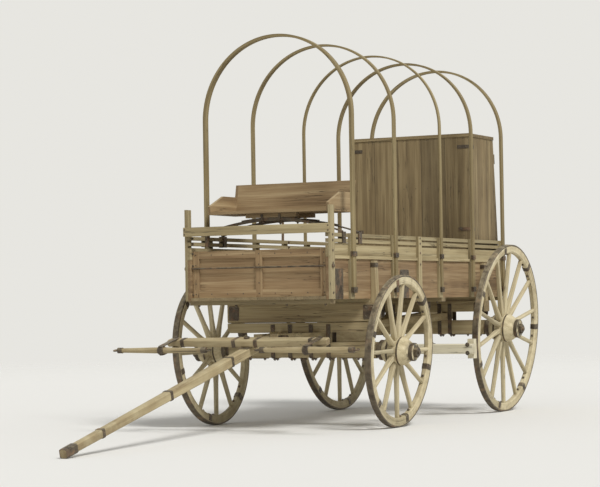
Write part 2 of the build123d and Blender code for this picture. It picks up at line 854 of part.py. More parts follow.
# Bed and sides
with BuildPart() as bed_sills:
    for behind in sill_at:
        middle_y = front_y + behind
        timber(
            (-side_out, side_out),
            (middle_y - sill_width / 2, middle_y + sill_width / 2),
            (bolster_top, sill_top),
        )
keep(bed_sills, "bed_sills")

board_width = (bed_inside - (floor_boards + 1) * floor_gap) / floor_boards
with BuildPart() as bed_floor:
    for index in range(floor_boards):
        low = -side_in + floor_gap + index * (board_width + floor_gap)
        timber((low, low + board_width), (bed_front_y, bed_rear_y), (sill_top, floor_top))
keep(bed_floor, "bed_floor")

rod_y = bed_front_y + gate_inset / 2
rod_z = side_top - end_rod_drop
rod_half = cleat_out + seat_play + end_rod_nut
with BuildPart() as lower_sides:
    for side in (1, -1):
        timber(sorted((side * side_in, side * side_out)), (bed_front_y, bed_rear_y), (sill_top, side_top))
    cross_bar((-rod_half, rod_half), rod_y, rod_z, end_rod_r + seat_play, Mode.SUBTRACT)
keep(lower_sides, "lower_sides")

with BuildPart() as upper_sides:
    for side in (1, -1):
        span = sorted((side * side_in, side * side_out))
        timber(span, (bed_front_y, bed_rear_y), (upper_bottom, upper_top))
        for index in range(slat_count):
            low = upper_top + slat_gap + index * slat_pitch
            timber(span, (bed_front_y, bed_rear_y), (low, low + slat_height))
    # A rail for the driver's feet crosses the corner posts.
    timber(
        (-cleat_out, cleat_out),
        (bed_front_y - front_rail_thickness, bed_front_y),
        (box_top, box_top + front_rail_height),
    )
keep(upper_sides, "upper_sides")

post_y = bed_front_y + cleat_width / 2
bow_ys = [front_y + row[0] for row in bow_sizes]
lever_y = front_y + lever_at
cleat_ys = sorted([post_y, lever_y, *bow_ys])
with BuildPart() as side_cleats:
    for side in (1, -1):
        for cleat_y in cleat_ys:
            top = box_top + post_rise if cleat_y == post_y else box_top
            timber(
                sorted((side * side_out, side * cleat_out)),
                (cleat_y - cleat_width / 2, cleat_y + cleat_width / 2),
                (sill_top, top),
            )
        # The bead covers the joint between the side boards, from cleat to cleat.
        for near, far in zip(cleat_ys, cleat_ys[1:]):
            timber(
                sorted((side * side_out, side * (side_out + bead_thickness))),
                (near + cleat_width / 2 + seat_play, far - cleat_width / 2 - seat_play),
                (side_top - bead_height / 2, side_top + bead_height / 2),
            )
    cross_bar((-rod_half, rod_half), rod_y, rod_z, end_rod_r + seat_play, Mode.SUBTRACT)
keep(side_cleats, "side_cleats")

for number, (behind, width, thickness) in enumerate(bow_sizes, 1):
    outer_r = bow_in + thickness
    spring_z = bow_top - outer_r
    with BuildPart() as bow:
        with BuildSketch(Plane.XZ.offset(-front_y - behind - width / 2)):
            with Locations((0, spring_z)):
                Circle(outer_r)
            with Locations((0, (spring_z + bow_foot) / 2)):
                Rectangle(2 * outer_r, spring_z - bow_foot)
            with Locations((0, spring_z)):
                Circle(bow_in, mode=Mode.SUBTRACT)
            with Locations((0, spring_z - bow_top / 2)):
                Rectangle(2 * bow_in, bow_top, mode=Mode.SUBTRACT)
            with Locations((0, bow_foot - outer_r)):
                Rectangle(2 * outer_r, 2 * outer_r, mode=Mode.SUBTRACT)
        extrude(amount=width)
        chamfer(bow.edges().group_by(Axis.Z)[0], bow_foot_corner)
    keep(bow, f"bow_{number}")

gate_y = bed_front_y + gate_inset
gate_half = side_in - floor_gap / 2
with BuildPart() as front_gate:
    timber((-gate_half, gate_half), (gate_y, gate_y + board), (floor_top, floor_top + gate_height))
    with BuildSketch(Plane.XZ.offset(-gate_y)):
        with Locations((0, floor_top + gate_height / 2)):
            Rectangle(2 * gate_half, gate_height)
            Rectangle(2 * gate_half - 2 * gate_frame, gate_height - 2 * gate_frame, mode=Mode.SUBTRACT)
            Rectangle(gate_frame, gate_height)
    extrude(amount=gate_frame_thickness)
keep(front_gate, "front_gate")

# Spring seat
seat_y = front_y + seat_middle
spring_r = (spring_half_span**2 + spring_rise**2) / (2 * spring_rise)
spring_sweep = asin(spring_half_span / spring_r)
spring_foot_z = box_top + spring_hook[1]
spring_centre_z = spring_foot_z + spring_rise - spring_r
spring_top = spring_centre_z + spring_r + len(spring_leaves) * spring_leaf
with BuildPart() as seat_springs:
    for spring_y in (seat_y - spring_apart / 2, seat_y + spring_apart / 2):
        for index, share in enumerate(spring_leaves):
            inner_r = spring_r + index * spring_leaf
            reach_angle = spring_sweep * share
            wedge = 2 * spring_r
            with BuildSketch(Plane.XZ.offset(-spring_y - spring_width / 2)):
                with Locations((0, spring_centre_z)):
                    Circle(inner_r + spring_leaf)
                    Circle(inner_r, mode=Mode.SUBTRACT)
                    Polygon(
                        (0, 0),
                        (wedge * sin(reach_angle), wedge * cos(reach_angle)),
                        (-wedge * sin(reach_angle), wedge * cos(reach_angle)),
                        align=None,
                        mode=Mode.INTERSECT,
                    )
            extrude(amount=spring_width)
        for side in (1, -1):
            hook_out = side_out + spring_hook[1]
            hook_in = side_in - spring_hook[1]
            timber(
                sorted((side * hook_in, side * hook_out)),
                (spring_y - spring_hook[0] / 2, spring_y + spring_hook[0] / 2),
                (box_top - spring_hook[2], box_top + spring_hook[1]),
            )
            timber(
                sorted((side * side_in, side * side_out)),
                (spring_y - spring_hook[0] / 2, spring_y + spring_hook[0] / 2),
                (box_top - spring_hook[2], box_top),
                Mode.SUBTRACT,
            )
keep(seat_springs, "seat_springs")

seat_front = seat_y - seat_depth / 2
seat_rear = seat_y + seat_depth / 2
seat_floor = spring_top + seat_riser
seat_top = seat_floor + seat_board
with BuildPart() as seat:
    for riser_y in (seat_y - spring_apart / 2, seat_y + spring_apart / 2):
        timber(
            (-seat_width / 2 * spring_leaves[-1], seat_width / 2 * spring_leaves[-1]),
            (riser_y - spring_width / 2, riser_y + spring_width / 2),
            (spring_top, seat_floor),
        )
    timber((-seat_width / 2, seat_width / 2), (seat_front, seat_rear), (seat_floor, seat_top))
    rake = seat_back_height * tan(radians(seat_back_rake))
    for side in (1, -1):
        with BuildSketch(Plane.YZ.offset(side * (seat_width / 2 - seat_board))):
            outline((
                (seat_front, seat_top),
                (seat_rear, seat_top),
                (seat_rear + rake * seat_end_height / seat_back_height, seat_top + seat_end_height),
                (seat_front + seat_depth / 2, seat_top + seat_end_height),
                (seat_front, seat_top + seat_end_toe),
            ))
        extrude(amount=side * seat_board)
    with BuildSketch(Plane.YZ):
        outline((
            (seat_rear - seat_board, seat_top),
            (seat_rear, seat_top),
            (seat_rear + rake, seat_top + seat_back_height),
            (seat_rear + rake - seat_board, seat_top + seat_back_height),
        ))
    extrude(amount=seat_width / 2, both=True)
keep(seat, "seat")

# Chuck box: on its tail plane x runs outwards from the open face and y up the sloping lid.
slope = radians(chuck_slope)
tail_section = Plane(
    (0, bed_rear_y, floor_top),
    x_dir=(0, cos(slope), sin(slope)),
    z_dir=(1, 0, 0),
)
chuck_front_y = front_y + chuck_ahead


def tail_at(height, set_back=0):
    """Where the sloping open face stands at a height, less a set back."""
    return bed_rear_y - (height - floor_top) * tan(slope) - set_back


chuck_half_in = chuck_half_width - chuck_wall
chuck_floor = floor_top + shelf
with BuildPart() as chuck_case:
    with BuildSketch(Plane.YZ):
        outline((
            (chuck_front_y, floor_top),
            (tail_at(floor_top), floor_top),
            (tail_at(chuck_top), chuck_top),
            (chuck_front_y, chuck_top),
        ))
    extrude(amount=chuck_half_width, both=True)
    with BuildSketch(Plane.YZ):
        outline((
            (chuck_front_y + chuck_wall, chuck_floor),
            (2 * bed_rear_y, chuck_floor),
            (2 * bed_rear_y, chuck_top),
            (chuck_front_y + chuck_wall, chuck_top),
        ))
    extrude(amount=chuck_half_in, both=True, mode=Mode.SUBTRACT)
    timber(
        (-chuck_half_width - chuck_top_overhang, chuck_half_width + chuck_top_overhang),
        (chuck_front_y - chuck_top_overhang, tail_at(chuck_top) + lid_gap + lid_thickness),
        (chuck_top, chuck_top + chuck_top_board),
    )
keep(chuck_case, "chuck_case")


def bay_spans(count):
    """The clear widths between the dividers of a row with so many bays."""
    clear = (2 * chuck_half_in - 2 * shelf_play - (count - 1) * shelf) / count
    lows = [-chuck_half_in + shelf_play + index * (clear + shelf) for index in range(count)]
    return [(low, low + clear) for low in lows]


row_tops = (*shelf_levels, chuck_top)
shelf_rows = [(row_tops[row], bays, row < drawer_row_count) for row, bays in enumerate(bay_counts)]
shelf_front = chuck_front_y + chuck_wall + shelf_play
with BuildPart() as chuck_shelves:
    bottom = chuck_floor
    for top, bays, _ in shelf_rows:
        spans = bay_spans(bays)
        divider_bottom = bottom + (shelf_play if bottom == chuck_floor else 0)
        divider_top = top - (shelf_play if top == chuck_top else 0)
        for bay in spans[:-1]:
            with BuildSketch(Plane.YZ.offset(bay[1])):
                outline((
                    (shelf_front, divider_bottom),
                    (tail_at(divider_bottom, shelf_set_back), divider_bottom),
                    (tail_at(divider_top, shelf_set_back), divider_top),
                    (shelf_front, divider_top),
                ))
            extrude(amount=shelf)
        if top != chuck_top:
            timber(
                (-chuck_half_in + shelf_play, chuck_half_in - shelf_play),
                (shelf_front, tail_at(top + shelf, shelf_set_back)),
                (top, top + shelf),
            )
        bottom = top + shelf
keep(chuck_shelves, "chuck_shelves")

with BuildPart() as chuck_drawers:
    bottom = chuck_floor
    for top, bays, drawers in shelf_rows:
        if drawers:
            face = tail_at(top, shelf_set_back + drawer_set_back)
            for low, high in bay_spans(bays):
                box_low = (low + drawer_gap, high - drawer_gap)
                timber(
                    box_low,
                    (face - drawer_depth, face),
                    (bottom + shelf_play, top - drawer_gap),
                )
                timber(
                    (box_low[0] + drawer_wall, box_low[1] - drawer_wall),
                    (face - drawer_depth + drawer_wall, face - drawer_wall),
                    (bottom + drawer_wall, top),
                    Mode.SUBTRACT,
                )
                with BuildSketch(Plane.XZ.offset(-face)):
                    with Locations(((low + high) / 2, top - drawer_gap)):
                        Circle(drawer_notch_r)
                extrude(amount=drawer_wall, mode=Mode.SUBTRACT)
        bottom = top + shelf
keep(chuck_drawers, "chuck_drawers")

# The lid drops about a hinge just below and behind its lower edge.
hinge_u = hinge_stand_off
hinge_v = hinge_rise
lid_in = lid_gap
lid_out = lid_gap + lid_thickness
lid_low = hinge_v + lid_foot
lid_high = (chuck_top - floor_top) / cos(slope) - lid_gap - lid_thickness * tan(slope)
plank = 2 * chuck_half_width / lid_planks
batten_out = lid_out + lid_batten[1]
with BuildPart() as chuck_lid:
    with BuildSketch(tail_section):
        with Locations(((lid_in + lid_out) / 2, (lid_low + lid_high) / 2)):
            Rectangle(lid_thickness, lid_high - lid_low)
        for along in lid_batten_at:
            with Locations(((lid_out + batten_out) / 2, along)):
                Rectangle(lid_batten[1], lid_batten[0])
    extrude(amount=chuck_half_width, both=True)
    groove = lid_groove / 2
    for index in range(1, lid_planks):
        groove_x = -chuck_half_width + index * plank
        with BuildSketch(tail_section.offset(groove_x - groove)):
            with Locations((lid_in, (lid_low + lid_high) / 2)):
                Rectangle(lid_groove, lid_high)
        extrude(amount=lid_groove, mode=Mode.SUBTRACT)
keep(chuck_lid, "chuck_lid")

knuckle = hinge_leaf[0] / 3
with BuildPart() as box_irons:
    # Rub irons where the steered front wheels come near the box.
    for side in (1, -1):
        for rub_middle in (front_y - rub_iron_at, front_y + rub_iron_at):
            with BuildSketch(Plane.YZ.offset(side * side_out)):
                with Locations((rub_middle, sill_top + rub_iron[1] / 2)):
                    RectangleRounded(rub_iron[0], rub_iron[1], rub_iron_corner)
            extrude(amount=side * rub_iron[2])
    # The rod that ties the sides together ahead of the gate.
    cross_bar((-cleat_out - seat_play, cleat_out + seat_play), rod_y, rod_z, end_rod_r)
    for side in (1, -1):
        nut_span = sorted((side * (cleat_out + seat_play), side * rod_half))
        cross_bar(nut_span, rod_y, rod_z, end_rod_nut_r)
    # Staples that hold the bows against their cleats; the low ones have a foot plate.
    for behind, width, thickness in bow_sizes:
        bow_y = front_y + behind
        inner = width / 2 + bow_gap
        outer_x = bow_in + thickness + bow_gap
        for side in (1, -1):
            for rise in staple_rises:
                low = bow_foot + rise
                floor_z = low - staple_thickness if rise == 0 else low
                timber(
                    sorted((side * cleat_out, side * (outer_x + staple_thickness))),
                    (bow_y - inner - staple_thickness, bow_y + inner + staple_thickness),
                    (floor_z, low + staple_height),
                )
                timber(
                    sorted((side * cleat_out, side * outer_x)),
                    (bow_y - inner, bow_y + inner),
                    (low, low + staple_height),
                    Mode.SUBTRACT,
                )
    # Fixed halves of the lid's hinges.
    for side in (1, -1):
        for shift in (-knuckle, knuckle):
            with BuildSketch(tail_section.offset(side * hinge_at + shift - knuckle / 2)):
                with Locations((hinge_u, hinge_v)):
                    Circle(hinge_barrel_r)
                with Locations((hinge_u / 2, hinge_v)):
                    Rectangle(hinge_u - 2 * seat_play, 2 * hinge_pin_r)
            extrude(amount=knuckle)
        with BuildSketch(tail_section.offset(side * hinge_at - hinge_leaf[0] / 2)):
            with Locations((hinge_leaf[1] / 2 + seat_play, (hinge_v - board) / 2)):
                Rectangle(hinge_leaf[1], hinge_v + board)
            with Locations((hinge_u, hinge_v)):
                Circle(hinge_pin_r)
        extrude(amount=hinge_leaf[0])
keep(box_irons, "box_irons")

leg_in = batten_out + leg_gap
leg_u = leg_in + leg_thickness / 2
leg_v = lid_batten_at[1]
hinge_z = floor_top + hinge_u * sin(slope) + hinge_v * cos(slope)
open_pivot_z = hinge_z - (leg_u - hinge_u)
leg_reach = open_pivot_z - leg_ground_gap
with BuildPart() as lid_irons:
    for side in (1, -1):
        start = side * hinge_at - knuckle / 2 + hinge_play
        with BuildSketch(tail_section.offset(start)):
            with Locations((hinge_u, hinge_v)):
                Circle(hinge_barrel_r)
            with Locations(((hinge_u + lid_out + hinge_leaf[1]) / 2, hinge_v)):
                Rectangle(lid_out + hinge_leaf[1] - hinge_u, 2 * hinge_pin_r)
            with Locations((hinge_u, hinge_v)):
                Circle(hinge_pin_r + pin_play, mode=Mode.SUBTRACT)
        extrude(amount=knuckle - 2 * hinge_play)
        with BuildSketch(tail_section.offset(start)):
            strap_low = hinge_v - hinge_pin_r
            strap_high = min(lid_low + hinge_strap_length, lid_batten_at[0] - lid_batten[0] / 2)
            with Locations((lid_out + hinge_leaf[1] / 2, (strap_low + strap_high) / 2)):
                Rectangle(hinge_leaf[1], strap_high - strap_low)
        extrude(amount=knuckle - 2 * hinge_play)
        ear_x = side * (leg_width / 2 + lever_play)
        with BuildSketch(tail_section.offset(ear_x)):
            with Locations((leg_u, leg_v)):
                Circle(leg_ear[1] / 2)
            with Locations(((batten_out + leg_u) / 2, leg_v)):
                Rectangle(leg_u - batten_out, leg_ear[1])
        extrude(amount=side * leg_ear[0])
    with BuildSketch(tail_section.offset(-leg_width / 2 - lever_play - leg_ear[0])):
        with Locations((leg_u, leg_v)):
            Circle(leg_pin_r)
    extrude(amount=leg_width + 2 * lever_play + 2 * leg_ear[0])
keep(lid_irons, "lid_irons")

with BuildPart() as lid_leg:
    with BuildSketch(tail_section.offset(-leg_width / 2)):
        with Locations((leg_u, leg_v)):
            Circle(leg_thickness / 2)
        with Locations((leg_u, leg_v - leg_reach / 2)):
            Rectangle(leg_thickness, leg_reach)
        with Locations((leg_u, leg_v)):
            Circle(leg_pin_r + pin_play, mode=Mode.SUBTRACT)
    extrude(amount=leg_width)
keep(lid_leg, "lid_leg")

# Brake: the beam hangs ahead of the rear wheels from two straps under a sill.
beam_reach = (rear_wheel_r**2 - (rear_axle_z - brake_beam_z) ** 2) ** 0.5
beam_y = rear_y - beam_reach - shoe_gap - shoe[1] - brake_beam_section[0] / 2
beam_front = beam_y - brake_beam_section[0] / 2
beam_rear = beam_y + brake_beam_section[0] / 2
beam_top = brake_beam_z + brake_beam_section[1] / 2
hanger_z = bolster_top - hanger_pivot_drop
tread_x = half_track - (rear_axle_z - brake_beam_z) * tan(arm)
lean = radians(lever_arm_lean)
lever_swing = 2 * lever_arm_lean
brake_travel = 2 * lever_arm * sin(lean)
beam_swing = asin(brake_travel / (hanger_z - brake_ear_z))
lever_pin_y = lever_y - lever_arm * sin(lean)
lever_pin_z = lever_pivot_z - lever_arm * cos(lean)
plate_out = -cleat_out - ratchet_plate
lever_span = (plate_out - lever_play - lever_section[1], plate_out - lever_play)
rod_span = (lever_span[0] - lever_play - rod_section[1], lever_span[0] - lever_play)
ear_span = (rod_span[0] - lever_play - hanger_strap[1], rod_span[0] - lever_play)
ear_y = beam_front - rod_section[0]

# Seen from the hanging beam, the wheel's middle when the brake is hard on.
wheel_dy = rear_y - beam_y
wheel_dz = rear_axle_z - hanger_z
closed_y = beam_y + wheel_dy * cos(beam_swing) + wheel_dz * sin(beam_swing)
closed_z = hanger_z - wheel_dy * sin(beam_swing) + wheel_dz * cos(beam_swing)

with BuildPart() as brake_beam:
    timber(
        (-brake_beam_half, brake_beam_half),
        (beam_front, beam_rear),
        (brake_beam_z - brake_beam_section[1] / 2, beam_top),
    )
    chamfer(brake_beam.edges().filter_by(Axis.X), brake_beam_corner)
    for side in (1, -1):
        with BuildSketch(Plane.YZ.offset(side * tread_x - shoe[0] / 2)):
            with Locations((beam_rear + shoe[1] / 2, brake_beam_z)):
                Rectangle(shoe[1], shoe[2])
            with Locations((closed_y, closed_z)):
                Circle(rear_wheel_r + shoe_closed_gap, mode=Mode.SUBTRACT)
        extrude(amount=shoe[0])
keep(brake_beam, "brake_beam")

with BuildPart() as beam_irons:
    for side in (1, -1):
        with BuildSketch(Plane.YZ.offset(side * hanger_at - hanger_strap[1] / 2)):
            with Locations((beam_y, hanger_z)):
                Circle(hanger_strap[0] / 2)
            with Locations((beam_y, (hanger_z + beam_top) / 2)):
                Rectangle(hanger_strap[0], hanger_z - beam_top)
            with Locations((beam_y, hanger_z)):
                Circle(hanger_pin_r + pin_play, mode=Mode.SUBTRACT)
        extrude(amount=hanger_strap[1])
    with BuildSketch(Plane.YZ.offset(ear_span[0])):
        with Locations((ear_y, brake_ear_z)):
            Circle(rod_section[0] / 2)
        outline((
            (ear_y, brake_ear_z + rod_section[0] / 2),
            (beam_front, beam_top - brake_beam_corner),
            (beam_front, brake_beam_z),
            (ear_y, brake_ear_z - rod_section[0] / 2),
        ))
    extrude(amount=hanger_strap[1])
    cross_bar((ear_span[0], rod_span[1] + lever_play / 2), ear_y, brake_ear_z, link_pin_r)
keep(beam_irons, "beam_irons")

ratchet_lean = radians(lever_arm_lean - lever_rake - lever_swing / 2)
with BuildPart() as brake_irons:
    # Ears under the sill, each pair with the pin that a strap hangs on.
    for side in (1, -1):
        middle_x = side * hanger_at
        ear_in = hanger_strap[1] / 2 + lever_play
        for low in (middle_x - ear_in - hanger_plate, middle_x + ear_in):
            with BuildSketch(Plane.YZ.offset(low)):
                with Locations((beam_y, hanger_z)):
                    Circle(hanger_strap[0] / 2)
                with Locations((beam_y, (hanger_z + bolster_top) / 2)):
                    Rectangle(hanger_strap[0], bolster_top - hanger_z)
            extrude(amount=hanger_plate)
        pin_half = ear_in + hanger_plate + hanger_plate
        cross_bar((middle_x - pin_half, middle_x + pin_half), beam_y, hanger_z, hanger_pin_r)
    # The lever's bracket, with its pivot, and the toothed quadrant, both on the right-hand cleat.
    with BuildSketch(Plane.YZ.offset(plate_out)):
        with Locations((lever_y, lever_pivot_z + (lever_bracket[1] - lever_bracket[0]) / 2)):
            Rectangle(*lever_bracket)
    extrude(amount=ratchet_plate)
    head_span = (lever_span[0] - lever_play - ratchet_plate, lever_span[0] - lever_play)
    cross_bar((head_span[0], plate_out), lever_y, lever_pivot_z, lever_pivot_r)
    cross_bar(head_span, lever_y, lever_pivot_z, 2 * lever_pivot_r)
    half_angle = radians(ratchet_half_angle)
    with BuildSketch(Plane.YZ.offset(plate_out)):
        with Locations((lever_y, lever_pivot_z)):
            Circle(ratchet_r)
            Circle(ratchet_r - ratchet_depth, mode=Mode.SUBTRACT)
            edges = [ratchet_lean - half_angle, ratchet_lean + half_angle]
            wedge = [(2 * ratchet_r * sin(angle), 2 * ratchet_r * cos(angle)) for angle in edges]
            Polygon((0, 0), *wedge, align=None, mode=Mode.INTERSECT)
            for tooth in range(ratchet_teeth):
                angle = ratchet_lean + half_angle * (2 * (tooth + 1) / (ratchet_teeth + 1) - 1)
                step = ratchet_tooth / ratchet_r
                notch = (
                    (ratchet_r + ratchet_tooth, angle - step),
                    (ratchet_r + ratchet_tooth, angle + step),
                    (ratchet_r - ratchet_tooth, angle),
                )
                corners = [(radius * sin(turn), radius * cos(turn)) for radius, turn in notch]
                Polygon(*corners, align=None, mode=Mode.SUBTRACT)
    extrude(amount=ratchet_plate)
keep(brake_irons, "brake_irons")

handle_lean = lean - radians(lever_rake)
handle_dir = Vector(sin(handle_lean), cos(handle_lean))
handle_tip = Vector(lever_y, lever_pivot_z) + handle_dir * lever_length
wide = lever_section[0] / 2
narrow = lever_grip / 2
with BuildPart() as brake_lever:
    with BuildSketch(Plane.YZ.offset(lever_span[0])):
        with Locations((lever_y, lever_pivot_z)):
            Circle(lever_boss_r)
        with Locations((lever_pin_y, lever_pin_z)):
            Circle(wide)
        with Locations((handle_tip.X, handle_tip.Y)):
            Circle(narrow)
        pivot = Vector(lever_y, lever_pivot_z)
        pin = Vector(lever_pin_y, lever_pin_z)
        for low, high, low_half, high_half in ((pin, pivot, wide, wide), (pivot, handle_tip, wide, narrow)):
            along = (high - low).normalized()
            square = Vector(along.Y, -along.X)
            corners = (
                low + square * low_half,
                high + square * high_half,
                high - square * high_half,
                low - square * low_half,
            )
            outline([(corner.X, corner.Y) for corner in corners])
        with Locations((lever_y, lever_pivot_z)):
            Circle(lever_pivot_r + pin_play, mode=Mode.SUBTRACT)
    extrude(amount=lever_section[1])
    cross_bar((rod_span[0] - lever_play, lever_span[0]), lever_pin_y, lever_pin_z, link_pin_r)
keep(brake_lever, "brake_lever")

with BuildPart() as brake_rod:
    rod_run = Vector(ear_y - lever_pin_y, brake_ear_z - lever_pin_z)
    rod_angle = degrees(atan2(rod_run.Y, rod_run.X))
    with BuildSketch(Plane.YZ.offset(rod_span[0])):
        with Locations(((ear_y + lever_pin_y) / 2, (brake_ear_z + lever_pin_z) / 2)):
            SlotCenterToCenter(rod_run.length, rod_section[0], rotation=rod_angle)
        with Locations((lever_pin_y, lever_pin_z)):
            Circle(link_pin_r + pin_play, mode=Mode.SUBTRACT)
        with Locations((ear_y, brake_ear_z)):
            Circle(link_pin_r + rod_eye_play, mode=Mode.SUBTRACT)
    extrude(amount=rod_section[1])
keep(brake_rod, "brake_rod")
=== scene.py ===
"""Looks of a four-wheeled chuck wagon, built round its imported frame.

Lengths are metres in the wagon's own frame: +X is its left side, +Y its tail, +Z up,
and the origin is on the ground under the middle of its length.
"""

from __future__ import annotations

import json
import logging
import math
import operator
from dataclasses import dataclass, field, replace
from enum import Enum
from functools import cached_property, reduce
from itertools import product
from typing import Any, Sequence

import bpy
import numpy as np
from mathutils import Matrix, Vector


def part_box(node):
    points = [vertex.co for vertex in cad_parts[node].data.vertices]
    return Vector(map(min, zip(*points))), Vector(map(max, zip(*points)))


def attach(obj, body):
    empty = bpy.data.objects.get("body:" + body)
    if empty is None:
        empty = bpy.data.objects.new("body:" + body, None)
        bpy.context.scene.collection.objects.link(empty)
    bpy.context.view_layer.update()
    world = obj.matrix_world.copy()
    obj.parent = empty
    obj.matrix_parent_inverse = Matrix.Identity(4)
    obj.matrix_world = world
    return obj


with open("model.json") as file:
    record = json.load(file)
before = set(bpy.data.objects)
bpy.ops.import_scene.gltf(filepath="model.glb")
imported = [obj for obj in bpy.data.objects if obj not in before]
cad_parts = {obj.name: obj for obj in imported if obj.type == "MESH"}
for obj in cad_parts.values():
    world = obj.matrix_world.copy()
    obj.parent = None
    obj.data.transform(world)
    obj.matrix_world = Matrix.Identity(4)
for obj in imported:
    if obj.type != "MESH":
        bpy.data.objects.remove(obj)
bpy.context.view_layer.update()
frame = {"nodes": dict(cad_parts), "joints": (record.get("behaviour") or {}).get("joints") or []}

LOG = logging.getLogger("chuck_wagon")
Array = np.ndarray
Points = Array | Sequence
Places = Array | Sequence | float
Pair = tuple[float, float]
Triple = tuple[float, float, float]
Colour = tuple[float, float, float]
Row = tuple[float, ...]

X, Y, Z = (1.0, 0.0, 0.0), (0.0, 1.0, 0.0), (0.0, 0.0, 1.0)
AHEAD, DOWN = (0.0, -1.0, 0.0), (0.0, 0.0, -1.0)
SKIN = 0.0003  # how far a thin iron stands off the face it is nailed to
EDGE = 0.0006  # how far the edges of thin irons are clipped
NEAR_HALF = 0.45  # the most that a bend or a clip takes of its side
CLEAR = 1e-4  # how far a limit stays off the face that it follows
EVER = 100.0  # a limit that nothing reaches
SHARP_EDGE = math.radians(34)
WORN = (0.01, 0.3)  # how far a rounded normal leans where wear starts and where it is full
END_GRAIN = (0.7, 0.9)  # how far a face looks along the grain where it starts to count as sawn, and does


# Grid surfaces


def unit(vectors: Points) -> Array:
    """Vectors divided by their own lengths."""
    rows = np.asarray(vectors, float)
    return rows / np.linalg.norm(rows, axis=-1, keepdims=True)


def turned(profile: Points, sides: int, start: float = 0.0) -> Array:
    """A lathe surface about Z: ring i holds the points (r_i cos t, r_i sin t, h_i) for evenly spaced t.

    Args:
        profile: Radius and height of each ring, from one end to the other.
        sides: Number of points on a ring.
        start: Angle of each ring's first point.

    Returns:
        A grid of rings by points.
    """
    radius, height = np.array(profile, float).T
    turn = start + np.linspace(0, 2 * np.pi, sides, endpoint=False)
    level = np.outer(height, np.ones(sides))
    return np.stack([np.outer(radius, np.cos(turn)), np.outer(radius, np.sin(turn)), level], -1)


def bent(corners: Points, bend: float, steps: int, closed: bool) -> Array:
    """A path through corner points whose corners are rounded by quadratic curves.

    Each corner P with neighbours A and B becomes (1-s)^2 A' + 2 s (1-s) P + s^2 B', where A' and B'
    lie one bend's length from P towards A and B.

    Args:
        corners: The corners, ends included.
        bend: Distance from a corner to where its curve starts.
        steps: Points on each curve.
        closed: Whether the last point joins the first.

    Returns:
        The path's points.
    """
    corner = np.array(corners, float)
    curve_ends = []
    for shift in (1, -1):
        way = np.roll(corner, shift, 0) - corner
        far = np.linalg.norm(way, axis=1, keepdims=True)
        curve_ends.append(corner + way / far * np.minimum(bend, NEAR_HALF * far))
    s = np.linspace(0, 1, steps)[None, :, None]
    start, end = (spots[:, None] for spots in curve_ends)
    curves = (1 - s) ** 2 * start + 2 * s * (1 - s) * corner[:, None] + s**2 * end
    if closed:
        return curves.reshape(-1, 3)
    return np.concatenate([corner[:1], curves[1:-1].reshape(-1, 3), corner[-1:]])


def flat_bar(
    corners: Points,
    size: Pair,
    bend: float = 0.004,
    steps: int = 3,
    centre: Points = (0.0, 0.0, 0.0),
    closed: bool = False,
) -> Array:
    """A flat bar bent through corner points: path point + x (tangent x out) + y (out made square to it).

    Args:
        corners: The corners of the bar's middle line.
        size: The bar's width and thickness.
        bend: Distance from a corner to where its bend starts.
        steps: Points on each bend.
        centre: The point that the bar's back looks at; "out" leads away from it.
        closed: Whether the bar is a ring.

    Returns:
        A grid of rings by points.
    """
    path = bent(corners, bend, steps, closed)
    run = np.roll(path, -1, 0) - np.roll(path, 1, 0) if closed else np.gradient(path, axis=0)
    tangent = unit(run)
    side = unit(np.cross(tangent, unit(path - centre)))
    rise = np.cross(side, tangent)
    wide, thick = size[0] / 2, size[1] / 2
    clip = min(EDGE, NEAR_HALF * size[1])
    quarter = np.array([(wide, thick - clip), (wide - clip, thick)])
    mirrors = [quarter, (quarter * (-1, 1))[::-1], -quarter, (quarter * (1, -1))[::-1]]
    section = np.concatenate(mirrors)[None]
    return path[:, None] + section[..., :1] * side[:, None] + section[..., 1:] * rise[:, None]


def there_and_back(points: Points, mirror: Triple) -> Array:
    """A path followed by its mirror image, run backwards."""
    half = np.array(points, float)
    return np.concatenate([half, half[::-1] * mirror])


def rectangle(x: float, y: float) -> Array:
    """The corners of a rectangle of a half width and a half height, in order."""
    return there_and_back([(x, y, 0), (-x, y, 0)], (1, -1, 1))


def rounded_plate(width: float, height: float, thickness: float, corner: float) -> Array:
    """A flat plate: rings x + c cos t, y + c sin t round its four corners, drawn in at the front edge.

    Args:
        width: Along the first axis.
        height: Along the second.
        thickness: Outwards along the third.
        corner: Radius of the corners.

    Returns:
        A grid of rings by points.
    """
    quarter = np.linspace(0, np.pi / 2, 4)
    turn = (np.arange(4)[:, None] * np.pi / 2 + quarter).ravel()
    sign = np.repeat([(1, 1), (-1, 1), (-1, -1), (1, -1)], 4, axis=0)
    middle = sign * (width / 2 - corner, height / 2 - corner)
    rings = []
    for inset, level in ((0, 0), (0, thickness - EDGE), (EDGE, thickness)):
        flat = middle + (corner - inset) * np.stack([np.cos(turn), np.sin(turn)], -1)
        rings.append(np.column_stack([flat, np.full(len(flat), level)]))
    return np.array(rings)


def bases(axes: Points) -> Array:
    """For each axis a 3 by 3 basis whose rows are two directions across it and the axis itself.

    Args:
        axes: One axis or a row of them.

    Returns:
        The bases, one for each axis.
    """
    axis = unit(np.atleast_2d(axes))
    side = unit(np.cross(np.where(np.abs(axis[:, 2:]) > 0.9, [Y], [Z]), axis))
    return np.stack([side, np.cross(axis, side), axis], 1)


def placed(grid: Array, origins: Points, basis: Points) -> Array:
    """Copies of a grid, each turned by its basis and moved to its origin; either may be one for all."""
    turns = np.asarray(basis, float).reshape(-1, 3, 3)
    return np.einsum("nmi,kij->knmj", grid, turns) + np.atleast_2d(origins)[:, None, None]


def each_side(points: Points) -> Array:
    """The points and their mirror images across the wagon's centre plane."""
    rows = np.atleast_2d(np.asarray(points, float))
    return np.concatenate([rows, rows * (-1, 1, 1)])


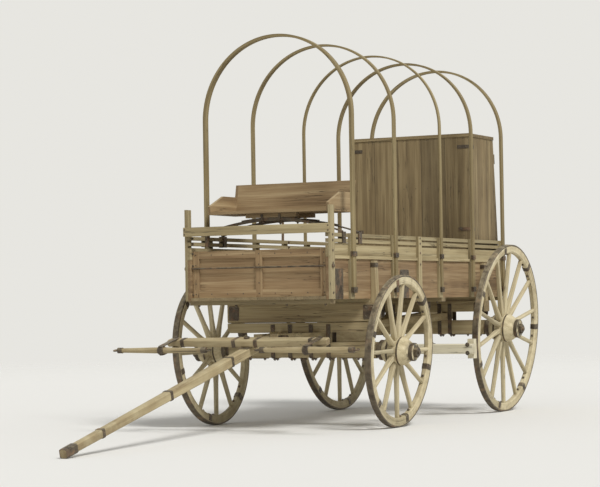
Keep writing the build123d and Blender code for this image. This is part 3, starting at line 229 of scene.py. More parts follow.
def lattice(across: Places, along: Places, up: Places, start: Points = (0, 0, 0)) -> Array:
    """Every combination of places across, along and up, counted from a starting point."""
    places = (np.atleast_1d(row) for row in (across, along, up))
    return np.array(list(product(*places)), float) + start


class Head(Enum):
    """Heads and nuts that show on the wood, as lathe profiles of radius 1."""

    CARRIAGE = 0
    NAIL = 1
    SQUARE = 2
    HEX = 3
    WASHER = 4

    def grid(self, radius: float) -> Array:
        """The head's surface, its base just under the surface at height 0.

        Args:
            radius: Across the head, from its middle.

        Returns:
            A grid of rings by points.
        """
        arc = np.linspace(0, 0.97, 5) * np.pi / 2
        domed = np.stack([np.cos(arc), 0.12 + 0.36 * np.sin(arc)], -1)
        nail = np.stack([np.cos(arc), 0.1 + 0.22 * np.sin(arc)], -1)
        nut = [(0.9, -0.02), (1, 0.06), (1, 0.75), (0.86, 0.85), (0.5, 0.85), (0.48, 1.25), (0.3, 1.35)]
        profiles = {
            Head.CARRIAGE: ([(1, -0.05), *domed], 12),
            Head.NAIL: ([(1, -0.05), *nail], 8),
            Head.SQUARE: (nut, 4),
            Head.HEX: (nut, 6),
            Head.WASHER: ([(1, -0.02), (1, 0.12), (0.93, 0.16), (0.05, 0.16)], 14),
        }
        rings, sides = profiles[self]
        return turned(np.array(rings) * radius, sides, math.pi / 4)


def face_rows(rings: int, points: int, loop: bool) -> tuple[Array, Array]:
    """Quads between neighbouring rings, and the end caps when the rings don't join in a loop.

    Args:
        rings: Number of rings.
        points: Number of points on a ring.
        loop: Whether the last ring joins the first.

    Returns:
        The quads' corners and the caps' corners.
    """
    ring = np.arange(rings if loop else rings - 1)[:, None]
    point = np.arange(points)[None, :]
    near, far = ring * points, (ring + 1) % rings * points
    step = (point + 1) % points
    quads = np.stack([near + point, near + step, far + step, far + point], -1).reshape(-1, 4)
    if loop:
        return quads, np.zeros((0, points), int)
    return quads, np.stack([np.arange(points)[::-1], (rings - 1) * points + np.arange(points)])


def inside_out(grid: Array, quads: Array, caps: Array) -> bool:
    """Whether the faces point inwards, by the sum of p0 . (p1 x p2) over a fan of triangles.

    Args:
        grid: The surface's points.
        quads: The quads' corners.
        caps: The caps' corners.

    Returns:
        True if they have to be turned round.
    """
    spots = grid.reshape(-1, 3) - grid.reshape(-1, 3).mean(0)
    fans = [quads[:, [0, 1, 2]], quads[:, [0, 2, 3]]]
    fans += [caps[:, [0, i, i + 1]] for i in range(1, caps.shape[1] - 1)] if len(caps) else []
    triangles = spots[np.concatenate(fans)]
    return float(np.einsum("ij,ij", triangles[:, 0], np.cross(triangles[:, 1], triangles[:, 2]))) < 0


@dataclass
class Piece:
    """One mesh of closed grid surfaces that rides on one body."""

    name: str
    body: str
    finish: Finish
    grids: list[tuple[Array, bool]] = field(default_factory=list)

    def add(self, grid: Array, loop: bool = False) -> None:
        """Adds a grid of rings by points, or a stack of such grids, as rings that may join in a loop."""
        self.grids.append((grid if grid.ndim == 4 else grid[None], loop))

    def stand(self, grid: Array, places: Points, axis: Points | None) -> None:
        """Adds a copy of a grid at each place.

        Args:
            grid: The surface, standing up along the third axis.
            places: Where the copies stand.
            axis: The way they stand out, or a row of ways; away from the centre plane if there is none.
        """
        places = np.atleast_2d(np.asarray(places, float))
        ways = np.sign(places) * X if axis is None else np.broadcast_to(axis, places.shape)
        self.add(placed(grid, places, bases(ways)))

    def heads(self, head: Head, radius: float, places: Points, axis: Points | None = None) -> None:
        """Adds a row of heads or nuts; axis as in stand."""
        self.stand(head.grid(radius), places, axis)

    def plates(self, size: Triple, corner: float, places: Points, axis: Points | None = None) -> None:
        """Adds flat plates of a width, height and thickness; axis as in stand."""
        self.stand(rounded_plate(*size, corner), places, axis)

    def build(self) -> None:
        """Writes the grids as one mesh, with its finish, body and material slot."""
        spots, faces, base = [], [], 0
        for stack, loop in self.grids:
            count, rings, points, _ = stack.shape
            quads, caps = face_rows(rings, points, loop)
            turn = -1 if inside_out(stack[0], quads, caps) else 1
            shift = base + np.arange(count)[:, None, None] * rings * points
            for rows in (quads, caps):
                faces += (rows[:, ::turn] + shift).reshape(-1, rows.shape[1]).tolist()
            spots.append(stack.reshape(-1, 3))
            base += count * rings * points
        mesh = bpy.data.meshes.new(self.name)
        mesh.from_pydata(np.concatenate(spots).tolist(), [], faces, shade_flat=False)
        mesh.validate()
        mesh.set_sharp_from_angle(angle=SHARP_EDGE)
        mesh.materials.append(self.finish.material())
        piece = bpy.data.objects.new(self.name, mesh)
        bpy.context.scene.collection.objects.link(piece)
        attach(piece, self.body)
        LOG.info("%s: %d faces on %s", self.name, len(faces), self.body)


# What the frame gives


def corners_of(node: str) -> tuple[Array, Array]:
    """A node's lowest and highest corners at rest."""
    low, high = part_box(node)
    return np.array(low), np.array(high)


def points_of(node: str) -> Array:
    """All points of a node's mesh at rest.

    Args:
        node: The CAD node's name.

    Returns:
        The points, a row for each.
    """
    mesh = frame["nodes"][node].data
    flat = np.zeros(len(mesh.vertices) * 3, np.float32)
    mesh.vertices.foreach_get("co", flat)
    return flat.reshape(-1, 3).astype(float)


def joint_of(name: str) -> tuple[Array, Array]:
    """A joint's point and unit axis."""
    row = next(joint for joint in frame["joints"] if joint["name"] == name)
    return np.array(row["pos_m"], float), unit(row["axis"])


def dress(material: bpy.types.Material, *nodes: str) -> None:
    """Gives CAD nodes their finish, through their material slots.

    Args:
        material: The finish.
        *nodes: The nodes' names.
    """
    for node in nodes:
        thing = frame["nodes"][node]
        if not thing.material_slots:
            thing.data.materials.append(material)
        for slot in thing.material_slots:
            slot.material = material
        LOG.info("%s: %s", node, material.name)


# Shader building


class Kit:
    """A material's or world's node tree, with one method that adds any node."""

    def __init__(self, owner: bpy.types.Material | bpy.types.World) -> None:
        """Starts an empty tree.

        Args:
            owner: The material or world whose tree it is.
        """
        owner.use_nodes = True
        self.owner, self.tree = owner, owner.node_tree
        self.tree.nodes.clear()

    def node(self, kind: str, settings: dict[str, Any] | None = None, sockets: dict | None = None) -> Any:
        """Adds a node.

        Args:
            kind: The node's type.
            settings: Its own settings, set before its sockets; "ramp" holds a ramp's stops.
            sockets: Values, sockets or shader values, by socket name or number.

        Returns:
            The node.
        """
        made = self.tree.nodes.new(kind)
        for key, value in (settings or {}).items():
            if key == "ramp":
                while len(made.color_ramp.elements) < len(value):
                    made.color_ramp.elements.new(1.0)
                for element, (position, colour) in zip(made.color_ramp.elements, value):
                    element.position, element.color = position, (*colour, 1)
            else:
                setattr(made, key, value)
        for key, value in (sockets or {}).items():
            if isinstance(value, Val):
                value = value.socket
            if isinstance(value, bpy.types.NodeSocket):
                self.tree.links.new(value, made.inputs[key])
            else:
                made.inputs[key].default_value = value
        return made

    def value(self, kind: str, settings: dict[str, Any] | None, sockets: dict) -> Val:
        """The first output of a new node, as a shader value."""
        return Val(self, self.node(kind, settings, sockets).outputs[0])

    @cached_property
    def place(self) -> Any:
        """The point in the wagon's own frame at rest."""
        return self.node("ShaderNodeTexCoord").outputs["Object"]

    @cached_property
    def facing(self) -> Any:
        """The way the surface faces."""
        return self.node("ShaderNodeTexCoord").outputs["Normal"]

    def vector(self, operation: str, *terms: Any) -> Any:
        """The outputs of a Vector Math node."""
        return self.node("ShaderNodeVectorMath", {"operation": operation}, dict(enumerate(terms))).outputs

    def dot(self, vector: Any, direction: Any) -> Val:
        """The part of a vector that lies along a unit direction."""
        return Val(self, self.vector("DOT_PRODUCT", vector, direction)["Value"])

    def noise(self, vector: Any, scale: float, detail: float = 3.0, rough: float = 0.55) -> Val:
        """Fractal noise from 0 to 1."""
        sockets = {"Vector": vector, "Scale": scale, "Detail": detail, "Roughness": rough}
        return self.value("ShaderNodeTexNoise", None, sockets)

    def random(self, number: Val) -> Val:
        """A random value from 0 to 1 for each whole number."""
        return self.value("ShaderNodeTexWhiteNoise", {"noise_dimensions": "1D"}, {"W": number})

    def mixed(self, factor: Any, first: Any, second: Any) -> Any:
        """A colour between two, from a Mix node, whose sockets 6 and 7 take colours.

        Args:
            factor: How much of the second it has.
            first: A colour or a socket.
            second: Another.

        Returns:
            The socket that gives it.
        """
        start, end = ((*colour, 1) if isinstance(colour, tuple) else colour for colour in (first, second))
        return self.node("ShaderNodeMix", {"data_type": "RGBA"}, {0: factor, 6: start, 7: end}).outputs[2]

    def worn_edge(self, radius: float) -> tuple[Any, Val]:
        """The mark that wear leaves on sharp edges.

        Args:
            radius: How far from an edge it reaches.

        Returns:
            A normal that rounds the edges, and how worn they are, from 0 to 1.
        """
        rounded = self.node("ShaderNodeBevel", {"samples": 4}, {"Radius": radius}).outputs[0]
        flat = self.node("ShaderNodeNewGeometry").outputs["Normal"]
        return rounded, (1 - self.dot(rounded, flat)).ramp(*WORN)

    def surface(
        self, colour: Any, roughness: Val, height: Val, depth: float, rounded: Any, metallic: Any = 0.0
    ) -> bpy.types.Material:
        """Joins a colour, a roughness and a relief to the surface.

        Args:
            colour: Base colour.
            roughness: Roughness.
            height: Relief from 0 to 1.
            depth: The relief's depth in metres.
            rounded: The normal that the relief starts from.
            metallic: How much of it is bare metal.

        Returns:
            The material.
        """
        relief = {"Strength": 1.0, "Distance": depth, "Height": height, "Normal": rounded}
        normal = self.node("ShaderNodeBump", None, relief).outputs[0]
        sockets = {"Base Color": colour, "Metallic": metallic, "Roughness": roughness, "Normal": normal}
        paint = self.node("ShaderNodeBsdfPrincipled", None, sockets)
        self.node("ShaderNodeOutputMaterial", None, {"Surface": paint.outputs[0]})
        return self.owner


@dataclass(frozen=True)
class Val:
    """A shader value: sums, differences, products and quotients of it add Math nodes."""

    kit: Kit
    socket: Any

    def math(self, operation: str, *others: Any, swap: bool = False) -> Val:
        """A Math node on this value and others.

        Args:
            operation: The node's operation.
            *others: Numbers or shader values.
            swap: Whether the others come first.

        Returns:
            The result.
        """
        terms = [self, *others][::-1] if swap else [self, *others]
        return self.kit.value("ShaderNodeMath", {"operation": operation}, dict(enumerate(terms)))

    def __add__(self, other: Any) -> Val:
        """This value plus another."""
        return self.math("ADD", other)

    def __mul__(self, other: Any) -> Val:
        """This value times another."""
        return self.math("MULTIPLY", other)

    def __sub__(self, other: Any) -> Val:
        """This value less another."""
        return self.math("SUBTRACT", other)

    def __rsub__(self, other: Any) -> Val:
        """Another value less this one."""
        return self.math("SUBTRACT", other, swap=True)

    def __truediv__(self, other: Any) -> Val:
        """This value divided by another."""
        return self.math("DIVIDE", other)

    __radd__ = __add__
    __rmul__ = __mul__

    def ramp(self, low: float, high: float) -> Val:
        """0 up to low, 1 from high, and smooth between."""
        sockets = {"Value": self, "From Min": low, "From Max": high}
        return self.kit.value("ShaderNodeMapRange", {"interpolation_type": "SMOOTHSTEP"}, sockets)


# How the grain runs through a piece


@dataclass(frozen=True)
class Grain:
    """A place in the wood: along the grain, across it, into it, and its board's number.

    The rest run from 0 to 1 where they are given: seams, sawn ends, grease and mud.
    """

    along: Val
    across: Val
    into: Val
    board: Val
    seam: Val | None = None
    end: Val | None = None
    grease: Val | None = None
    mud: Val | None = None

    def noise(self, kit: Kit, cells: Pair, detail: float, shift: Val) -> Val:
        """Noise drawn out along the grain.

        Args:
            kit: The material's tree.
            cells: Cells a metre along the grain, and across it.
            detail: Its octaves.
            shift: How far it is moved along the grain.

        Returns:
            The noise, from 0 to 1.
        """
        parts = (self.along * cells[0] + shift, self.across * cells[1], self.into * cells[1])
        spot = kit.node("ShaderNodeCombineXYZ", None, dict(enumerate(parts))).outputs[0]
        return kit.noise(spot, 1, detail)


@dataclass(frozen=True)
class Run:
    """A way that the grain runs through a piece; the label is part of the material's name."""

    label: str

    def read(self, kit: Kit) -> Grain:
        """The grain at each point.

        Args:
            kit: The material's tree.

        Returns:
            The grain.
        """
        raise NotImplementedError


ONE_BOARD = (10.0, -5.0)  # the pitch and start of boards where there is only one
ROW_STEP = 17  # what the numbers of boards grow by from one layer of a stack to the next


@dataclass(frozen=True)
class StraightRun(Run):
    """Boards with straight grain.

    Boards and stack hold the pitch and the first edge of the rows across the grain and into the
    wood, and seam is the width of the dark joints between them.
    """

    along: Triple = Y
    across: Triple = X
    boards: Pair = ONE_BOARD
    stack: Pair = ONE_BOARD
    seam: float = 0.0

    def read(self, kit: Kit) -> Grain:
        """The grain at each point: its parts along three fixed directions.

        A seam is a point near a whole number of pitches, on faces that don't look along that pitch.

        Args:
            kit: The material's tree.

        Returns:
            The grain.
        """
        ways = (self.across, np.cross(self.along, self.across))
        along, across, deep = (kit.dot(kit.place, way) for way in (self.along, *ways))
        rows = (self.boards, self.stack)
        steps = [(value - first) / pitch for value, (pitch, first) in zip((across, deep), rows)]
        board = steps[0].math("FLOOR") + steps[1].math("FLOOR") * ROW_STEP
        end = kit.dot(kit.facing, self.along).math("ABSOLUTE").ramp(*END_GRAIN)
        if not self.seam:
            return Grain(along, across, deep, board, end=end)
        edges = [
            step.math("FRACT").math("PINGPONG", 0.5) * pitch + kit.dot(kit.facing, way).math("ABSOLUTE")
            for step, (pitch, _), way in zip(steps, rows, ways)
        ]
        seam = 1 - edges[0].math("MINIMUM", edges[1]).ramp(0.3 * self.seam, self.seam)
        return Grain(along, across, deep, board, seam, end)


@dataclass(frozen=True)
class PatchedRun(Run):
    """One run with another inside given boxes, such as battens across planks.

    A box is a row of limits: a direction, the lowest and the highest distance along it.
    """

    base: StraightRun
    patch: StraightRun
    boxes: tuple[tuple[tuple[Triple, float, float], ...], ...]

    def read(self, kit: Kit) -> Grain:
        """The grain at each point: base + (patch - base) where the point is inside a box.

        Args:
            kit: The material's tree.

        Returns:
            The grain.
        """
        grain, other = self.base.read(kit), self.patch.read(kit)
        parts = []
        for box in self.boxes:
            spots = [(kit.dot(kit.place, way), low, high) for way, low, high in box]
            sides = [at.math("GREATER_THAN", low) * at.math("LESS_THAN", high) for at, low, high in spots]
            parts.append(reduce(operator.mul, sides))
        inside = reduce(lambda first, second: first.math("MAXIMUM", second), parts)
        keys = ("along", "across", "into", "board", "end")
        pairs = {key: (getattr(grain, key), getattr(other, key)) for key in keys}
        blend = {key: first + (second - first) * inside for key, (first, second) in pairs.items()}
        return Grain(**blend, seam=grain.seam and grain.seam * (1 - inside))


class Part(Enum):
    """The wooden parts of a wheel."""

    SPOKE = "spokes"
    FELLOE = "felloes"
    HUB = "hub"


@dataclass(frozen=True)
class WheelRun(Run):
    """Grain in a wheel: out along each spoke, round each felloe, or along the hub."""

    part: Part
    centre: Triple
    axis: Triple
    first: Triple
    spokes: int
    rim: float
    greased: float = 0.055  # how far grease spreads from the axle

    def read(self, kit: Kit) -> Grain:
        """The grain at each point, from the distance r and the angle a about the axle.

        The angle wraps round at the felloe joint nearest the wheel's foot, so that it cuts neither
        a spoke nor a felloe in two there.

        Args:
            kit: The material's tree.

        Returns:
            The grain.
        """
        away = kit.vector("SUBTRACT", kit.place, self.centre)["Vector"]
        u, v, w = (kit.dot(away, way) for way in (self.first, np.cross(self.axis, self.first), self.axis))
        radius = (u * u + v * v).math("SQRT")
        if self.part is Part.HUB:
            return Grain(w, u, v, w * 0, grease=1 - radius.ramp(self.greased, self.greased * 1.5))
        pitch = 2 * math.pi / self.spokes
        lead = (0.5 - self.spokes / 2) % 2 * pitch
        cos, sin = math.cos(lead), math.sin(lead)
        angle = (v * cos - u * sin).math("ARCTAN2", u * cos + v * sin) + lead
        mud = radius.ramp(0.55 * self.rim, self.rim)
        if self.part is Part.SPOKE:
            board = (angle / pitch).math("ROUND")
            return Grain(radius, (angle - board * pitch) * radius, w, board, mud=mud)
        board = (angle / (2 * pitch) + 0.75).math("FLOOR")
        return Grain(angle * radius, radius, w, board, mud=mud)


@dataclass(frozen=True)
class BowRun(Run):
    """Grain that follows a bent bow: up one leg, round the arch and down the other."""

    spring: float
    radius: float
    inner: float
    facet: float = 0.0004  # how far the mesh's facets dip

    def read(self, kit: Kit) -> Grain:
        """The grain at each point: height up to the spring line, then radius times angle.

        The distance from the arch's middle is held between the bow's two faces, so that the
        mesh's facets, which dip a little below the true arch, leave no trace in the grain.

        Args:
            kit: The material's tree.

        Returns:
            The grain.
        """
        x, y, z = (kit.dot(kit.place, way) for way in (X, Y, Z))
        x, rise = x.math("ABSOLUTE"), (z - self.spring).math("MAXIMUM", 0.0)
        along = z.math("MINIMUM", self.spring) + rise.math("ARCTAN2", x) * self.radius
        across = (x * x + rise * rise).math("SQRT").math("MAXIMUM", self.inner)
        return Grain(along, across.math("MINIMUM", self.radius - self.facet), y, z * 0)


CROSS = StraightRun("cross", X, Y)
LENGTH = StraightRun("length")
UPRIGHT = StraightRun("upright", Z, X)


# Finishes


@dataclass(frozen=True)
class Finish:
    """What every finish has: its name and the record's material slot."""

    name: str
    slot: str

    def material(self) -> bpy.types.Material:
        """The finish as a material, made once."""
        return bpy.data.materials.get(self.name) or self.paint(Kit(bpy.data.materials.new(self.name)))

    def paint(self, kit: Kit) -> bpy.types.Material:
        """Builds the material.

        Args:
            kit: The material's empty tree.

        Returns:
            The material.
        """
        raise NotImplementedError


@dataclass(frozen=True)
class Wood(Finish):
    """Weathered wood: streaks and checks along the grain, bleached tops, dust low down.

    Its noises are given by their cells a metre, along the grain and across it where there are two.
    A pair that ends in -ed, and those of checks and upward, are limits of a smooth step.
    """

    dark: Colour
    body: Colour
    pale: Colour
    dust: Colour = (0.50, 0.43, 0.26)
    dust_top: float = 0.95  # how high dust lies
    bleach: float = 0.6  # share of the pale colour, at most
    checks: float = 0.8
    wear: float = 0.0035  # reach of the worn edges
    mud: Colour = (0.25, 0.19, 0.105)
    tar: Colour = (0.035, 0.027, 0.018)
    fibre_cells: Pair = (3, 160)
    streak_cells: Pair = (1.1, 26)
    split_cells: Pair = (1.6, 48)
    spell_cells: Pair = (2, 5)
    blotch_cells: float = 3.2
    dust_cells: float = 9
    mud_cells: float = 17
    tar_cells: float = 30
    stops: Triple = (0.30, 0.5, 0.72)  # where the three colours stand
    tones: Pair = (0.79, 0.42)  # a board's darkest tone, and how far the others rise above it
    board_shift: float = 53.0  # how far a board's number moves its noises, at most
    check_edge: Pair = (0.002, 0.016)
    check_spell: Pair = (0.5, 0.62)
    upward: Pair = (0.2, 0.9)
    bleached: Pair = (0.35, 0.7)
    dusted: Pair = (0.36, 0.66)
    rubbed: Pair = (0.3, 0.6)
    splashed: Pair = (0.42, 0.66)
    smeared: Pair = (0.4, 0.6)
    relief: float = 0.0016
    run: Run = LENGTH

    def along(self, run: Run) -> bpy.types.Material:
        """This wood with its grain laid along a run."""
        return replace(self, run=run, name=f"{self.name}_{run.label}").material()

    def paint(self, kit: Kit) -> bpy.types.Material:
        """Colour and relief from noise in grain coordinates.

        Fibres are noise stretched some 50 times along the grain, checks are the thin ridge where
        another stretched noise crosses its middle, and each board's number shifts them and its tone.

        Args:
            kit: The material's empty tree.

        Returns:
            The material.
        """
        grain = self.run.read(kit)
        chance = kit.random(grain.board + 0.37)
        shift = chance * self.board_shift
        fibre = grain.noise(kit, self.fibre_cells, 4, shift)
        streak = grain.noise(kit, self.streak_cells, 3, shift)
        split = grain.noise(kit, self.split_cells, 2, shift * -1)
        spell = grain.noise(kit, self.spell_cells, 1, shift)
        check = (1 - (split - 0.5).math("ABSOLUTE").ramp(*self.check_edge)) * spell.ramp(*self.check_spell)
        blotch = kit.noise(kit.place, self.blotch_cells, 4)
        stops = list(zip(self.stops, (self.dark, self.body, self.pale)))
        wood = kit.node("ShaderNodeValToRGB", {"ramp": stops}, {0: fibre * 0.35 + streak * 0.65}).outputs[0]
        darkest, spread = self.tones
        tone = {"Value": chance * spread + darkest, "Color": wood}
        wood = kit.node("ShaderNodeHueSaturation", None, tone).outputs[0]
        sky = kit.dot(kit.facing, Z).ramp(*self.upward)
        grey = ((sky * 0.55 + 0.3) * blotch.ramp(*self.bleached)) * self.bleach
        deep = tuple(0.3 * part for part in self.dark)
        low = 1 - kit.dot(kit.place, Z).ramp(self.dust_top * 0.25, self.dust_top)
        dusty = (low * 0.75 + sky * 0.35) * kit.noise(kit.place, self.dust_cells, 5).ramp(*self.dusted)
        layers = [(grey, self.pale), (check * self.checks, deep), (dusty * 0.6, self.dust)]
        height, rough = fibre * 0.35 + streak * 0.2 - check * 0.8, 0.93 - fibre * 0.2
        if grain.seam is not None:
            layers.append((grain.seam * 0.85, deep))
            height = height - grain.seam
        if grain.end is not None:
            layers.append((grain.end * (0.75 - fibre * 0.5), self.dark))
        rounded, edge = kit.worn_edge(self.wear)
        layers.append((edge * blotch.ramp(*self.rubbed) * 0.7, self.pale))
        if grain.mud is not None:
            splash = kit.noise(kit.place, self.mud_cells, 6, 0.65).ramp(*self.splashed)
            layers.append((grain.mud * splash * 0.5, self.mud))
        if grain.grease is not None:
            smear = grain.grease * kit.noise(kit.place, self.tar_cells, 3).ramp(*self.smeared)
            layers.append((smear * 0.9, self.tar))
            rough = rough - smear * 0.35
        for amount, colour in layers:
            wood = kit.mixed(amount, wood, colour)
        return kit.surface(wood, rough, height, self.relief, rounded)


@dataclass(frozen=True)
class Iron(Finish):
    """Forged iron: dark scale, rust in patches, bare edges and road dust."""

    scale: Colour = (0.075, 0.062, 0.048)
    rust: Colour = (0.155, 0.088, 0.046)
    bare: Colour = (0.33, 0.30, 0.25)
    dust: Colour = (0.44, 0.37, 0.23)
    rusted: float = 0.42
    dusted: float = 0.45
    patchy: float = 0.2  # half the width of the dust's edge
    wear: float = 0.0025
    rust_cells: float = 14
    pit_cells: float = 220
    dust_cells: float = 23
    rust_edge: Pair = (0.66, 0.82)  # of the patches, less 0.4 of the share that is rusted
    pitted: Pair = (0.45, 0.75)
    upward: Pair = (-0.2, 0.8)
    cloud: float = 0.52  # the middle of the dust's edge
    relief: float = 0.0006

    def paint(self, kit: Kit) -> bpy.types.Material:
        """Rust where a fractal noise is high, dust on what faces up, brighter metal at the edges.

        Args:
            kit: The material's empty tree.

        Returns:
            The material.
        """
        patches = kit.noise(kit.place, self.rust_cells, 6, 0.62)
        rusty = patches.ramp(*(limit - 0.4 * self.rusted for limit in self.rust_edge))
        pits = kit.noise(kit.place, self.pit_cells, 3)
        metal = kit.mixed(rusty, self.scale, self.rust)
        metal = kit.mixed(pits.ramp(*self.pitted) * 0.35, metal, tuple(1.6 * part for part in self.rust))
        rounded, edge = kit.worn_edge(self.wear)
        metal = kit.mixed(edge * 0.6, metal, self.bare)
        sky = kit.dot(kit.facing, Z).ramp(*self.upward)
        limits = (self.cloud - self.patchy, self.cloud + self.patchy)
        cloud = kit.noise(kit.place, self.dust_cells, 5).ramp(*limits)
        dusty = (sky * 0.7 + 0.3) * cloud * self.dusted
        metal = kit.mixed(dusty, metal, self.dust)
        rough, bare = rusty * 0.3 + dusty * 0.2 + 0.5, (1 - rusty) * (1 - dusty) * 0.75
        height = pits * 0.6 + patches * 0.4
        return kit.surface(metal, rough, height, self.relief, rounded, bare)


GEAR_WOOD = Wood("gear_timber", "gear_wood", (0.15, 0.105, 0.052), (0.29, 0.225, 0.12), (0.43, 0.36, 0.21))
BEAM_WOOD = Wood(
    "beam_timber", "gear_wood", (0.36, 0.31, 0.20), (0.55, 0.50, 0.36), (0.70, 0.66, 0.52),
    bleach=0.9, dust_top=0.3,
)
WHEEL_WOOD = Wood(
    "wheel_timber", "wheel_wood", (0.27, 0.215, 0.12), (0.46, 0.39, 0.24), (0.62, 0.55, 0.37),
    bleach=0.8, dust_top=0.6,
)
BOX_WOOD = Wood("box_timber", "box_wood", (0.13, 0.075, 0.034), (0.245, 0.16, 0.078), (0.41, 0.305, 0.17))
TRIM_WOOD = Wood("trim_timber", "trim_wood", (0.175, 0.13, 0.062), (0.325, 0.26, 0.138), (0.48, 0.41, 0.245))
BOW_WOOD = Wood(
    "bow_timber", "bow_wood", (0.105, 0.075, 0.032), (0.20, 0.152, 0.07), (0.325, 0.265, 0.14), bleach=0.45
)
CHUCK_WOOD = Wood("chuck_timber", "chuck_wood", (0.1, 0.068, 0.032), (0.2, 0.145, 0.07), (0.34, 0.265, 0.14))
SEAT_WOOD = Wood("seat_timber", "seat_wood", (0.13, 0.08, 0.037), (0.255, 0.175, 0.088), (0.42, 0.325, 0.185))
GEAR_IRON = Iron("gear_ironwork", "gear_iron")
TYRE_IRON = Iron("tyre_ironwork", "tyre_iron", bare=(0.5, 0.46, 0.38), rusted=0.35, dusted=0.9, patchy=0.3)


def fasten(name: str, body: str, *rows: tuple) -> None:
    """Builds a piece of iron heads alone.

    Args:
        name: The piece's name.
        body: The body that it rides on.
        *rows: What Piece.heads takes, for each kind of head.
    """
    irons = Piece(name, body, GEAR_IRON)
    for row in rows:
        irons.heads(*row)
    irons.build()


# Wheels

SPOKES = {"front": 12, "rear": 14}


@dataclass
class Wheel:
    """One wheel: its wood and tyre, hub bands, felloe irons and tyre bolts."""

    name: str
    spokes: int
    band_width: float = 0.026
    band_lip: float = 0.0007  # how far the bands stand off the hub
    band_depth: float = 0.004
    band_edge: float = 0.0012
    band_sides: int = 48
    land_half: float = 0.034  # half the land between the hub's two middle bands
    spoke_foot: float = 0.03  # length of the spokes that shows where they are seated
    box_ring: float = 0.007  # width of the iron box's rim
    plate: Pair = (0.040, 0.003)
    plate_lap: float = 0.006
    bevel: float = 0.00531  # what the plate follows of the felloe's bevelled edge
    bolt_from_joint: float = 0.075  # round the felloe
    nut: float = 0.0105
    rivet: float = 0.006

    def __post_init__(self) -> None:
        """Reads the wheel's axle from the frame."""
        self.body = f"wheel_{self.name}"
        self.centre, self.axis = joint_of(f"{self.name}_spin")
        self.up = unit(Z - self.axis[2] * self.axis)
        self.basis = np.stack([self.up, np.cross(self.axis, self.up), self.axis])

    def polar(self, part: Part) -> tuple[Array, Array]:
        """Distances along the axle and from it, of all points of a part."""
        local = (points_of(f"{self.name}_{part.value}") - self.centre) @ self.basis.T
        return local[:, 2], np.hypot(local[:, 0], local[:, 1])

    def around(self, angles: Array) -> Array:
        """Bases at places round the wheel.

        Args:
            angles: The places' angles from the top.

        Returns:
            Bases whose rows point out from the axle, back round the wheel and along the axle.
        """
        out = np.outer(np.cos(angles), self.basis[0]) + np.outer(np.sin(angles), self.basis[1])
        along = np.broadcast_to(self.axis, out.shape)
        return np.stack([out, np.cross(along, out), along], 1)

    def dress_wood(self) -> None:
        """Lays grain along spokes, felloes and hub, and rust and dust on the tyre."""
        ways = [tuple(row) for row in (self.centre, self.axis, self.up)]
        for part in Part:
            label = f"{self.name}_{part.value}"
            run = WheelRun(label, part, *ways, self.spokes, float(self.centre[2]))
            dress(WHEEL_WOOD.along(run), label)
        dress(TYRE_IRON.material(), f"{self.name}_tyre")

    def hub_irons(self) -> None:
        """Four bands shrunk on the hub and the ring of its iron box at the nose."""
        along, out = self.polar(Part.HUB)
        spoke_along, spoke_out = self.polar(Part.SPOKE)
        seat = float(spoke_along[spoke_out < spoke_out.min() + self.spoke_foot].mean())
        back, nose, width = along.min(), along.max(), self.band_width
        lip, edge, land = self.band_lip, self.band_edge, self.land_half
        bands = (
            (back, back + width, out[along < back + width / 2].max()),
            (seat - land - width / 2, seat - land, out.max()),
            (seat + land, seat + land + width / 2, out.max()),
            (nose - width, nose, out[along > nose - width / 2].max()),
        )
        profiles = []
        for low, high, radius in bands:
            inner, outer, low, high = radius - self.band_depth, radius + lip, low - lip, high + lip
            rim = ((outer - edge, low), (outer, low + edge), (outer, high - edge), (outer - edge, high))
            profiles.append(((inner, low), *rim, (inner, high)))
        bore = out[along > nose - CLEAR].min()
        rim, deep = bore + self.box_ring, nose - self.band_depth
        profiles.append(((bore, deep), (bore, nose + lip), (rim, nose + lip), (rim, deep)))
        irons = Piece(f"{self.name}_hub_bands", self.body, GEAR_IRON)
        for profile in profiles:
            irons.add(placed(turned(profile, self.band_sides), self.centre, self.basis), loop=True)
        irons.build()

    def felloe_irons(self) -> None:
        """A saddle iron over each felloe joint, and the tyre bolts' nuts beside it."""
        along, out = self.polar(Part.FELLOE)
        half, inner, outer = along.max(), out.min(), out.max()
        middle = (inner + outer) / 2
        joints = 2 * math.pi / self.spokes * (0.5 + 2 * np.arange(self.spokes // 2))
        gap = self.plate[1] / 2 + SKIN
        side, low = half + gap, inner - gap
        path = [(outer - self.plate_lap, 0, side), (inner + self.bevel, 0, side), (low, 0, half - self.bevel)]
        saddle = flat_bar(there_and_back(path, (1, 1, -1)), self.plate, centre=(middle, 0, 0))
        irons = Piece(f"{self.name}_felloe_irons", self.body, GEAR_IRON)
        irons.add(placed(saddle, self.centre, self.around(joints)))
        for step in (-self.bolt_from_joint / inner, self.bolt_from_joint / inner):
            out_there = self.around(joints + step)[:, 0]
            irons.heads(Head.SQUARE, self.nut, self.centre + out_there * (inner - SKIN), -out_there)
        rivets = self.centre + self.around(joints)[:, 0] * middle
        for sign in (1, -1):
            face = self.axis * sign
            irons.heads(Head.CARRIAGE, self.rivet, rivets + face * (side + self.plate[1] / 2), face)
        irons.build()

    def build(self) -> None:
        """Dresses the wheel and adds its irons."""
        self.dress_wood()
        self.hub_irons()
        self.felloe_irons()


# Running gear


